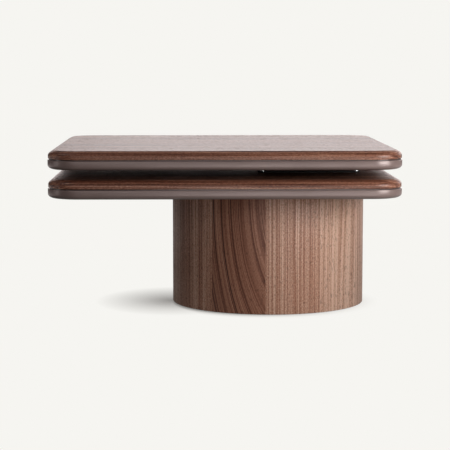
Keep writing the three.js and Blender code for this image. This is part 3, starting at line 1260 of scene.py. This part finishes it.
    def _build_plates(self) -> None:
        """Model both plates; the upper one is pressed alike and turned over."""
        lower = self._plate("lower_pressed_plate", -1)
        upper = self._plate("upper_pressed_plate", 1)
        upper.data.transform(self._turned_over())
        dress(lower, self.black_steel, "black_steel", Body.BASE, "swivel_lower_plate")
        dress(upper, self.black_steel, "black_steel", Body.UPPER_TOP, "swivel_upper_plate")

    def _turned_over(self) -> Matrix:
        """Half a turn about the level line along the tops through the middle of the balls."""
        to_centre = Matrix.Translation(self.centre)
        return to_centre @ Matrix.Rotation(math.pi, 4, "X") @ to_centre.inverted()

    def _ball_angles(self) -> list[float]:
        """Angles of the balls round the axis."""
        return [FULL_TURN * (index + 0.5) / self.ball_count for index in range(self.ball_count)]

    def _build_ball_train(self) -> None:
        """Model the crown retainer and its balls."""
        low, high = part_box("ball_retainer")
        bottom = low.z - self.centre.z
        top = high.z - self.centre.z
        inner = self.pitch_radius - self.retainer_thickness / 2
        outer = self.pitch_radius + self.retainer_thickness / 2
        band = turn(
            "crown_retainer",
            self.centre,
            [(inner, bottom), (outer, bottom), (outer, top), (inner, top)],
            self.round_count,
            closed=True,
        )
        drills = []
        for angle in self._ball_angles():
            direction = Vector((math.cos(angle), math.sin(angle), 0))
            bpy.ops.object.select_all(action="DESELECT")
            bpy.ops.mesh.primitive_cylinder_add(
                vertices=28,
                radius=self.groove_radius,
                depth=self.retainer_thickness + 2 * CUT_OVERRUN,
                location=self.centre + direction * self.pitch_radius,
                rotation=(0, QUARTER_TURN, angle),
            )
            drills.append(settle("pocket_drill"))
        work(band, join(drills), Joinery.CUT)
        ease_edges(band, self.retainer_ease)
        smooth(band)
        dress(band, self.nylon, "black_nylon", Body.BALL_TRAIN, "ball_retainer")
        first = self._ball()
        for number, angle in enumerate(self._ball_angles(), start=1):
            place = Vector((math.cos(angle), math.sin(angle), 0)) * self.pitch_radius
            ball = copy_of(first, f"bearing_ball_{number}", Matrix.Translation(self.centre + place))
            dress(ball, self.ball_steel, "ball_steel", Body.BALL_TRAIN, f"ball_{number}")
        bpy.data.objects.remove(first)

    def _ball(self) -> Object:
        """Model a ball at the origin, as a finely divided cube cast to a sphere.

        Returns:
            The ball.
        """
        reach = Vector((self.ball_radius, self.ball_radius, self.ball_radius))
        ball = block("ball", -reach, reach)
        with edit_mode(ball):
            bpy.ops.mesh.select_all(action="SELECT")
            bpy.ops.mesh.subdivide(number_cuts=7)
        cast = ball.modifiers.new("to a sphere", "CAST")
        cast.cast_type = "SPHERE"
        cast.factor = 1.0
        cast.use_radius_as_size = False
        cast.size = self.ball_radius
        take_up(ball)
        bpy.ops.object.modifier_apply(modifier=cast.name)
        smooth(ball, 180)
        return ball

    def _screw_places(self) -> list[Vector]:
        """Places of the four screws from the swivel's axis."""
        offset = self.half_side - self.screw_inset
        return [Vector((x * offset, y * offset, 0)) for x, y in ((-1, -1), (1, -1), (1, 1), (-1, 1))]

    def _screw(self) -> Object:
        """Model a flanged cross-recessed wood screw at the origin, its flange on height zero, point down.

        Returns:
            The screw.
        """
        low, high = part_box("lower_plate_screw_1")
        length = high.z - low.z - self.flange_thickness - self.head_height
        outline = [(self.shank_radius, 0.0)]
        turns = int((length - self.sheet) / self.thread_pitch) - 1
        for ridge in range(turns):
            height = -self.sheet - ridge * self.thread_pitch
            taper = 1 - self.tip_taper_share * (ridge / turns) ** 3
            root = self.shank_radius - self.thread_depth
            outline.append((self.shank_radius * taper, height))
            outline.append((root * taper, height - self.thread_pitch / 2))
        outline.append((0.0, -length))
        screw = turn("plate_screw", Vector(), outline, count=20)
        head = turn("head", Vector(), self._head_outline(), count=32)
        work(head, self._cross_recess(), Joinery.CUT)
        joined = join([screw, head])
        smooth(joined)
        return joined

    def _head_outline(self) -> list[tuple[float, float]]:
        """Outline of a screw's flange and crowned head, upwards from the flange's foot.

        Returns:
            (radius, height) points.
        """
        wall = self.head_height * self.wall_share
        crown_height = self.head_height - wall
        shoulder = self.head_radius - wall * self.draft_share
        rim = self.flange_radius - self.flange_thickness * self.draft_share
        outline = [
            (self.flange_radius - self.flange_foot_ease, 0.0),
            (self.flange_radius, self.flange_foot_ease),
            (rim, self.flange_thickness - self.flange_rim_ease),
            (rim - self.flange_rim_ease, self.flange_thickness),
            (self.head_radius, self.flange_thickness),
        ]
        for step in range(self.crown_steps + 1):
            angle = QUARTER_TURN * step / self.crown_steps
            share = self.crown_flat_share + (1 - self.crown_flat_share) * math.cos(angle)
            height = self.flange_thickness + wall + crown_height * math.sin(angle)
            outline.append((shoulder * share, height))
        return outline

    def _cross_recess(self) -> Object:
        """Model the tapered cross that is sunk into a screw's head.

        Returns:
            The solid that cuts the recess.
        """
        top = self.flange_thickness + self.head_height + CUT_OVERRUN
        bottom = self.flange_thickness + self.head_height - self.recess_depth
        width, length = self.recess_width, self.recess_length
        arms = []
        for across, along in ((width, length), (length, width)):
            reach = Vector((across / 2, along / 2, 0))
            arm = block("arm", Vector((0, 0, bottom)) - reach, Vector((0, 0, top)) + reach)
            with edit_mode(arm):
                pick_faces(arm, lambda centre, normal: normal.z < -LEVEL_FACE_SHARE)
                taper = (self.recess_taper_share, self.recess_taper_share, 1)
                bpy.ops.transform.resize(value=taper, center_override=(0, 0, bottom))
            arms.append(arm)
        work(arms[0], arms[1], Joinery.WELD)
        return arms[0]

    def _build_screws(self) -> None:
        """Place four screws in each plate: heads up in the lower one, heads down in the upper one."""
        screw = self._screw()
        flange_height = self.centre.z + self.corner_back + self.sheet + self.seat
        turned_over = self._turned_over()
        for number, place in enumerate(self._screw_places(), start=1):
            spot = Vector((self.centre.x + place.x, self.centre.y + place.y, flange_height))
            aim = Matrix.Rotation(self.driven_turn * number, 4, "Z")
            here = Matrix.Translation(spot) @ aim
            lower = copy_of(screw, f"lower_flanged_screw_{number}", here)
            dress(lower, self.zinc, "zinc_steel", Body.BASE, f"lower_plate_screw_{number}")
            mirrored = Vector((self.centre.x + place.x, self.centre.y - place.y, flange_height))
            there = turned_over @ Matrix.Translation(mirrored) @ aim
            upper = copy_of(screw, f"upper_flanged_screw_{number}", there)
            dress(upper, self.zinc, "zinc_steel", Body.UPPER_TOP, f"upper_plate_screw_{number}")
        bpy.data.objects.remove(screw)


@dataclass
class DrumBase:
    """The drum: veneered shell, top disc, bottom ring, crossed ribs, bolts, washers, inserts and glides."""

    nodes: dict[str, Object]
    walnut: Material
    fibreboard: Material
    zinc: Material
    brass: Material
    glide_plastic: Material

    # Shell, disc and ring.
    wall: float = 0.016
    edge_round: float = 0.0015
    edge_steps: int = 3
    facets: int = 198
    disc_gap: float = 0.0003
    disc_ease: float = 0.0004
    ring_width: float = 0.078
    ring_ease: float = 0.0006
    hole_clearance: float = 0.0005

    # Bolts, washers and inserts: the shares are of the radius, the head's height or a barb's pitch.
    bolt_count: int = 4
    bolt_radius: float = 0.004
    thread_pitch: float = 0.00125
    thread_root_share: float = 0.86
    bolt_tip_share: float = 0.8
    plain_shank: float = 0.004
    head_radius: float = 0.0075
    head_height: float = 0.0053
    chamfer_foot_share: float = 0.84
    chamfer_top_share: float = 1.02
    chamfer_height_share: float = 0.2
    washer_radius: float = 0.012
    washer_ease: float = 0.0003
    barb_count: int = 5
    barb_root_share: float = 0.9
    barb_land_share: float = 0.3
    barb_end_share: float = 0.95

    # Glides.
    glide_count: int = 6
    glide_edge_round: float = 0.0015
    glide_edge_steps: int = 4
    glide_flat_share: float = 2.2
    glide_top_ease: float = 0.0006
    glide_stem_radius: float = 0.004
    glide_tip: float = 0.0015
    glide_tip_share: float = 0.7

    axis: Vector = field(init=False)
    radius: float = field(init=False)
    bottom: float = field(init=False)
    top: float = field(init=False)

    def __post_init__(self) -> None:
        """Take the drum's place and size from the frame."""
        low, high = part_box("drum_shell")
        self.axis = axis_of("drum_shell")
        self.radius = (high.y - low.y) / 2
        self.bottom, self.top = low.z, high.z

    def build(self) -> None:
        """Model and dress the drum."""
        self._build_shell()
        self._build_disc_and_ring()
        self._build_fixings()
        self._build_glides()
        for rib in ("drum_rib_lengthwise", "drum_rib_crosswise"):
            node = self.nodes[rib]
            node.data.materials.clear()
            node.data.materials.append(self.fibreboard)
            LOG.info("%s: kept, in fibreboard", rib)

    def _build_shell(self) -> None:
        """Model the veneered shell, an open tube with eased edges; inside it is bare board."""
        inner = self.radius - self.wall
        eased = []
        for corner_height, facing in ((self.bottom, -1), (self.top, 1)):
            for step in range(self.edge_steps + 1):
                angle = QUARTER_TURN * step / self.edge_steps
                inset = self.edge_round * (1 - (math.sin(angle) if facing < 0 else math.cos(angle)))
                drop = self.edge_round * (1 - (math.cos(angle) if facing < 0 else math.sin(angle)))
                eased.append((self.radius - inset, corner_height - facing * drop))
        outline = [(inner, self.bottom), *eased, (inner, self.top)]
        shell = turn("veneered_shell", self.axis, outline, self.facets, closed=True)
        smooth(shell)
        dress(shell, self.walnut, "walnut_veneer", Body.BASE, "drum_shell")
        shell.data.materials.append(self.fibreboard)
        middle_radius = self.radius - self.edge_round - self.wall / 2
        for face in shell.data.polygons:
            if (face.center.xy - self.axis.xy).length < middle_radius:
                face.material_index = 1

    def _build_disc_and_ring(self) -> None:
        """Model the disc under the lower panel and the ring that carries the glides."""
        radius = self.radius - self.wall - self.disc_gap
        low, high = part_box("drum_top_disc")
        disc = turn("top_disc", self.axis, [(radius, low.z), (radius, high.z)], self.facets)
        hole_radius = self.bolt_radius + self.hole_clearance
        bolt_places = self._places("drum_bolt", self.bolt_count)
        drill(disc, bolt_places, hole_radius, low.z - CUT_OVERRUN, high.z + CUT_OVERRUN)
        ease_edges(disc, self.disc_ease)
        smooth(disc)
        dress(disc, self.fibreboard, "raw_board", Body.BASE, "drum_top_disc")
        low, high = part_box("drum_bottom_ring")
        inner = radius - self.ring_width
        outline = [(inner, low.z), (radius, low.z), (radius, high.z), (inner, high.z)]
        ring = turn("glide_ring", self.axis, outline, self.facets, closed=True)
        _, stem_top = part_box("floor_glide_1")
        hole_radius = self.glide_stem_radius + self.disc_gap
        glide_places = self._places("floor_glide", self.glide_count)
        drill(ring, glide_places, hole_radius, low.z - CUT_OVERRUN, stem_top.z + self.disc_gap)
        ease_edges(ring, self.ring_ease)
        smooth(ring)
        dress(ring, self.fibreboard, "raw_board", Body.BASE, "drum_bottom_ring")

    @staticmethod
    def _places(stem: str, count: int) -> list[Vector]:
        """Where the axes of numbered nodes, which share a stem of their names, meet the floor."""
        return [axis_of(f"{stem}_{number}") for number in range(1, count + 1)]

    def _bolt(self) -> Object:
        """Model one hexagon bolt on the origin's axis, at its real height, with its thread up.

        Returns:
            The bolt.
        """
        low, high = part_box("drum_bolt_1")
        head_top = low.z + self.head_height
        bpy.ops.object.select_all(action="DESELECT")
        bpy.ops.mesh.primitive_cylinder_add(
            vertices=6,
            radius=self.head_radius,
            depth=self.head_height,
            location=(0, 0, low.z + self.head_height / 2),
        )
        head = settle("hexagon_bolt")
        widest = self.head_radius * self.chamfer_top_share
        outline = [
            (self.head_radius * self.chamfer_foot_share, low.z),
            (widest, low.z + self.head_height * self.chamfer_height_share),
            (widest, head_top),
        ]
        work(head, turn("chamfer", Vector(), outline, count=48), Joinery.KEEP_SHARED)
        height = head_top + self.plain_shank
        outline = [(self.bolt_radius, head_top - self.head_height / 2), (self.bolt_radius, height)]
        while height + self.thread_pitch < high.z:
            outline.append((self.bolt_radius * self.thread_root_share, height + self.thread_pitch / 2))
            outline.append((self.bolt_radius, height + self.thread_pitch))
            height += self.thread_pitch
        outline.append((self.bolt_radius * self.bolt_tip_share, high.z))
        work(head, turn("shank", Vector(), outline, count=24), Joinery.WELD)
        smooth(head)
        return head

    def _washer(self) -> Object:
        """Model one washer on the origin's axis, at its real height.

        Returns:
            The washer.
        """
        low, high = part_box("drum_washer_1")
        inner, outer = self.bolt_radius + self.disc_gap, self.washer_radius
        outline = [(inner, low.z), (outer, low.z), (outer, high.z), (inner, high.z)]
        washer = turn("round_washer", Vector(), outline, count=48, closed=True)
        ease_edges(washer, self.washer_ease)
        smooth(washer)
        return washer

    def _insert(self) -> Object:
        """Model one threaded insert on the origin's axis, at its real height, with barbs outside.

        Returns:
            The insert.
        """
        low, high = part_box("panel_insert_1")
        outer = (high.y - low.y) / 2
        root = outer * self.barb_root_share
        inner = self.bolt_radius + self.disc_gap
        pitch = (high.z - low.z) / self.barb_count
        outline = [(inner, low.z), (outer, low.z)]
        for barb in range(self.barb_count):
            height = low.z + pitch * barb
            outline.append((outer, height + pitch * self.barb_land_share))
            outline.append((root, height + pitch * self.barb_end_share))
            outline.append((outer if barb < self.barb_count - 1 else root, height + pitch))
        outline.append((inner, high.z))
        insert = turn("threaded_insert", Vector(), outline, count=32, closed=True)
        smooth(insert)
        return insert

    def _build_fixings(self) -> None:
        """Place the bolts, washers and inserts that hold the drum to the lower panel."""
        makers = (
            (self._bolt(), "hexagon_bolt", self.zinc, "zinc_steel", "drum_bolt"),
            (self._washer(), "round_washer", self.zinc, "zinc_steel", "drum_washer"),
            (self._insert(), "threaded_insert", self.brass, "brass", "panel_insert"),
        )
        for first, name, material, slot, node in makers:
            for number, place in enumerate(self._places(node, self.bolt_count), start=1):
                twin = copy_of(first, f"{name}_{number}", Matrix.Translation(place))
                dress(twin, material, slot, Body.BASE, f"{node}_{number}")
            bpy.data.objects.remove(first)

    def _build_glides(self) -> None:
        """Place the glides: a foot with an eased edge, and a stem with a tapered end."""
        low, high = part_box("floor_glide_1")
        radius = (high.y - low.y) / 2
        ring_low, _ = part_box("drum_bottom_ring")
        foot_top = ring_low.z - self.disc_gap
        edge = self.glide_edge_round
        outline = [(radius - edge * self.glide_flat_share, low.z)]
        for step in range(self.glide_edge_steps + 1):
            angle = QUARTER_TURN * step / self.glide_edge_steps
            outline.append((radius - edge * (1 - math.sin(angle)), low.z + edge * (1 - math.cos(angle))))
        outline += [
            (radius, foot_top - self.glide_top_ease),
            (radius - self.glide_top_ease, foot_top),
            (self.glide_stem_radius, foot_top),
            (self.glide_stem_radius, high.z - self.glide_tip),
            (self.glide_stem_radius * self.glide_tip_share, high.z),
        ]
        glide = turn("floor_glide", Vector(), outline, count=48)
        smooth(glide)
        for number, place in enumerate(self._places("floor_glide", self.glide_count), start=1):
            twin = copy_of(glide, f"moulded_glide_{number}", Matrix.Translation(place))
            dress(twin, self.glide_plastic, "glide", Body.BASE, f"floor_glide_{number}")
        bpy.data.objects.remove(glide)


@dataclass(frozen=True)
class Softbox:
    """A rectangular softbox that the camera doesn't see, turned towards the table's middle."""

    name: str
    azimuth: float
    elevation: float
    distance: float
    width: float
    height: float
    power: float
    target: Vector = field(default_factory=lambda: Vector((0.1, 0.0, 0.2)))

    def hang(self) -> None:
        """Hang it; its azimuth counts from the front to the right, in degrees as its elevation does."""
        azimuth = math.radians(self.azimuth)
        elevation = math.radians(self.elevation)
        level = Vector((math.sin(azimuth), -math.cos(azimuth), 0)) * math.cos(elevation)
        outwards = level + Vector((0, 0, math.sin(elevation)))
        lamp = bpy.data.lights.new(self.name, "AREA")
        lamp.shape = "RECTANGLE"
        lamp.size = self.width
        lamp.size_y = self.height
        lamp.energy = self.power
        softbox = bpy.data.objects.new(self.name, lamp)
        softbox.location = self.target + outwards * self.distance
        softbox.rotation_euler = outwards.to_track_quat("Z", "Y").to_euler()
        softbox.visible_camera = False
        bpy.context.scene.collection.objects.link(softbox)


@dataclass
class Studio:
    """Pale floor and background, a low key light from the right, six weaker lamps, and the camera.

    The camera sees an even pale backdrop. Shiny surfaces mirror a brighter panel behind the table, which
    gives the level tops their sheen, and a darker room in front. The floor shows its real shade only
    inside a drawn mask close round the drum and at its left, so the shadow's shape is painted; it fades
    into the backdrop, and it is clear from below.
    """

    drum_axis: Vector
    drum_radius: float
    background: str = "#f6f5f1"
    shine_colour: str = "#faf0ef"

    # Floor: its size, where it fades out, how pale it is to the light it sends up, and how bright it is in
    # a mirror, from the left to the right.
    floor_radius: float = 2.4
    fade: Span = (0.75, 1.5)
    floor_bounce: float = 0.04
    mirror_places: Span = (-0.7, 0.2)
    mirror_levels: Span = (0.15, 0.5)

    # Shadow on the floor, painted in shape by a drawn mask over the floor's real shade: how dark it may get,
    # how far the painted pool reaches to the left of the drum and to its front and back, and the painted
    # contact shadow's reach and its strength at the right.
    shadow_share: float = 0.78
    shadow_left: float = 0.2
    shadow_depth: float = 0.24
    contact_reach: float = 0.048
    right_contact: float = 0.25

    camera_place: Vector = field(default_factory=lambda: Vector((-0.0801, -4.0016, 0.6326)))
    camera_yaw: float = 0.0215
    camera_pitch: float = 0.1088
    lens: float = 125.2
    sensor_width: float = 36.0

    # World: each pair is a range of a direction's part to the right, to the back or upwards, over which a
    # pale area comes or goes. The backdrop panel is brighter at its right than at its left.
    panel_back: Span = (0.3, 0.8)
    panel_foot: Span = (0.02, 0.07)
    panel_head: Span = (0.15, 0.5)
    panel_left: Span = (-0.5, -0.15)
    panel_slope: Span = (-0.2, 0.3)
    panel_levels: Span = (0.78, 1.22)
    panel_shine: float = 2.75
    ground_rise: Span = (-0.11, -0.055)
    ground_level: float = 0.9
    ground_back: Span = (-0.1, 0.4)
    front_shine: float = 0.05
    sky_rise: Span = (0.2, 0.8)
    sky_levels: Span = (0.03, 0.42)

    lamps: tuple[Softbox, ...] = (
        Softbox("key softbox", azimuth=43, elevation=14, distance=1.2, width=0.5, height=0.3, power=6.1),
        Softbox("front fill", azimuth=-24, elevation=16, distance=1.6, width=0.8, height=0.3, power=1.0),
        Softbox("low front strip", azimuth=8, elevation=-1, distance=1.3, width=0.9, height=0.1, power=1.8),
        Softbox("gap strip", azimuth=7, elevation=6.6, distance=1.3, width=1.3, height=0.03, power=0.6),
        Softbox("left rim", azimuth=-76, elevation=5, distance=1.7, width=0.4, height=0.4, power=0.7),
        Softbox("left top", azimuth=-70, elevation=45, distance=1.7, width=0.4, height=0.4, power=1.0),
        Softbox("back light", azimuth=172, elevation=30, distance=2.0, width=1.6, height=0.8, power=2.4),
    )

    def build(self) -> None:
        """Set up the floor, the world, the lights and the camera."""
        self._build_camera()
        self._build_world()
        self._build_floor()
        for lamp in self.lamps:
            lamp.hang()
        bpy.context.scene.view_settings.view_transform = "Standard"
        LOG.info("studio: floor, world, %d softboxes and camera", len(self.lamps))

    def _build_camera(self) -> None:
        """Place the camera at the photograph's viewpoint."""
        lens = bpy.data.cameras.new("camera")
        lens.lens = self.lens
        lens.sensor_width = self.sensor_width
        camera = bpy.data.objects.new("camera", lens)
        camera.location = self.camera_place
        camera.rotation_euler = (QUARTER_TURN - self.camera_pitch, 0, -self.camera_yaw)
        bpy.context.scene.collection.objects.link(camera)
        bpy.context.scene.camera = camera

    def _build_world(self) -> None:
        """Light the room: pale behind the object, darker before it and at its left, plain to the camera."""
        world = bpy.data.worlds.new("studio")
        bpy.context.scene.world = world
        world.use_nodes = True
        tree = world.node_tree
        tree.nodes.clear()
        rays = add_node(tree, "ShaderNodeLightPath").outputs
        right, back, up = Field.parts(add_node(tree, "ShaderNodeTexCoord").outputs["Generated"])
        panel = (
            back.carried(self.panel_back, WHOLE_SPAN, soft=True)
            * up.carried(self.panel_foot, WHOLE_SPAN, soft=True)
            * up.carried(self.panel_head, (1.0, 0.0), soft=True)
            * right.carried(self.panel_left, WHOLE_SPAN, soft=True)
            * right.carried(self.panel_slope, self.panel_levels)
        )
        ground = up.carried(self.ground_rise, (self.ground_level, 0.0), soft=True) * back.carried(
            self.ground_back, WHOLE_SPAN, soft=True
        )
        mirrored = (panel * self.panel_shine).highest(ground, self.front_shine)
        glossy = Field(rays["Is Glossy Ray"])
        seen = Field(rays["Is Camera Ray"]).highest(Field(rays["Is Transmission Ray"]))
        sky = up.carried(self.sky_rise, self.sky_levels, soft=True)
        shown = seen.highest(glossy * mirrored, glossy.rest() * sky)
        tint = add_node(
            tree,
            "ShaderNodeMix",
            {"Factor": seen, "A": linear(self.shine_colour), "B": linear(self.background)},
            data_type="RGBA",
        )
        background = add_node(
            tree,
            "ShaderNodeBackground",
            {"Color": colour_output(tint), "Strength": shown},
        )
        add_node(tree, "ShaderNodeOutputWorld", {"Surface": background.outputs[0]})

    def _shadow_mask(self, tree: NodeTree) -> Field:
        """Where the floor shows its real shade, a drawn mask that paints the shadow's shape: close round the
        drum, and further out at its left.

        Args:
            tree: the floor's node tree.

        Returns:
            The share of the shaded floor, from 0 to 1.
        """
        place = add_node(tree, "ShaderNodeTexCoord").outputs["Object"]
        inputs = {0: place, 1: self.drum_axis}
        centred = add_node(tree, "ShaderNodeVectorMath", inputs, operation="SUBTRACT")
        length = add_node(tree, "ShaderNodeVectorMath", {0: centred.outputs[0]}, operation="LENGTH")
        edge = (self.drum_radius, self.drum_radius + self.contact_reach)
        near = Field(length.outputs["Value"]).carried(edge, (1.0, 0.0))
        right, back, _ = Field.parts(centred.outputs[0])
        weaker = right.carried((-self.drum_radius, self.drum_radius), (1.0, self.right_contact))
        left_out = (right + self.drum_radius) / self.shadow_left
        sideways = back / self.shadow_depth
        # The pool and the contact ring are drawn shapes: painted shadow that lets the floor's real shade
        # show.
        pool = (left_out * left_out + sideways * sideways).worked("SQRT").carried(WHOLE_SPAN, (1.0, 0.0))
        return pool.highest(near * near * weaker) * self.shadow_share

    def _build_floor(self) -> None:
        """Lay a pale floor that shows its real shade inside the painted shadow mask near the drum and fades
        into the background.
        """
        bpy.ops.object.select_all(action="DESELECT")
        bpy.ops.mesh.primitive_circle_add(vertices=96, radius=self.floor_radius, fill_type="NGON")
        floor = settle("studio_floor")
        material = bpy.data.materials.new("pale studio floor")
        material.use_nodes = True
        tree = material.node_tree
        tree.nodes.clear()
        rays = add_node(tree, "ShaderNodeLightPath").outputs
        place = add_node(tree, "ShaderNodeTexCoord").outputs["Object"]
        right, _, _ = Field.parts(place)
        camera = Field(rays["Is Camera Ray"])
        strength = camera.highest(right.carried(self.mirror_places, self.mirror_levels, soft=True))
        pale = linear(self.background)
        glow = add_node(tree, "ShaderNodeEmission", {"Color": pale, "Strength": strength}).outputs[0]
        shaded = add_node(tree, "ShaderNodeBsdfDiffuse", {"Color": pale}).outputs[0]
        bounce = (self.floor_bounce, self.floor_bounce, self.floor_bounce, 1.0)
        matt = add_node(tree, "ShaderNodeBsdfDiffuse", {"Color": bounce}).outputs[0]
        clear = add_node(tree, "ShaderNodeBsdfTransparent").outputs[0]
        length = add_node(tree, "ShaderNodeVectorMath", {0: place}, operation="LENGTH")
        below = Field(add_node(tree, "ShaderNodeNewGeometry").outputs["Backfacing"])
        gone = Field(length.outputs["Value"]).carried(self.fade, WHOLE_SPAN, soft=True).highest(below)
        seen = camera.highest(Field(rays["Is Glossy Ray"]))
        surface = glow
        for share, other in ((self._shadow_mask(tree), shaded), (seen.rest(), matt), (gone, clear)):
            surface = add_node(tree, "ShaderNodeMixShader", {0: share, 1: surface, 2: other}).outputs[0]
        add_node(tree, "ShaderNodeOutputMaterial", {"Surface": surface})
        floor.data.materials.append(material)


def main() -> None:
    """Build the table and the studio."""
    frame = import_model()
    drum_low, drum_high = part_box("drum_shell")
    drum_axis = axis_of("drum_shell")
    # The tops are sanded finer than the drum and filled, so their pores are shallow and they shine more.
    top_walnut = Walnut(
        GrainRun.LENGTHWISE,
        roughness=0.42,
        varnish=0.12,
        varnish_roughness=0.24,
        pore_depth=0.00004,
    ).build()
    drum_walnut = Walnut(GrainRun.UPRIGHT, drum_axis, roughness=0.44).build()
    lacquer = satin_lacquer("sprayed satin lacquer, taupe", "#86736e", "#7e6b66", 0.32).build()
    # The groove sheet wears the panels' taupe lacquer, darkened as painted shade in the recess between board
    # and panel.
    groove_name = "taupe lacquer in the groove, darkened as painted shade"
    groove_lacquer_with_painted_shade = satin_lacquer(groove_name, "#5c4e4a", "#544743", 0.22).build()
    zinc = bare_metal("zinc-plated steel", "#dedfdd", "#c9ced0", (0.2, 0.3)).build()
    ball_steel = bare_metal("polished bearing steel", "#dcdddf", "#d2d4d7", (0.08, 0.12)).build()
    brass = bare_metal("turned brass", "#c2a35c", "#a98a45", (0.28, 0.4)).build()
    nylon = moulded_plastic("moulded black nylon", "#141415", "#202022", 0.5).build()
    glide_plastic = moulded_plastic("moulded glide plastic", "#2b2a29", "#3a3836", 0.68).build()
    for position, body in (("lower", Body.BASE), ("upper", Body.UPPER_TOP)):
        RoundedTop(position, body, top_walnut, lacquer, groove_lacquer_with_painted_shade).build()
        LOG.info("%s top built", position)
    SwivelBearing(BLACK_STEEL.build(), zinc, ball_steel, nylon).build()
    LOG.info("swivel bearing built")
    fibreboard = FIBREBOARD.build()
    DrumBase(frame["nodes"], drum_walnut, fibreboard, zinc, brass, glide_plastic).build()
    LOG.info("drum built")
    Studio(drum_axis, (drum_high.y - drum_low.y) / 2).build()


if __name__ == "__main__":
    logging.basicConfig(level=logging.INFO, format="%(name)s: %(message)s")
    main()
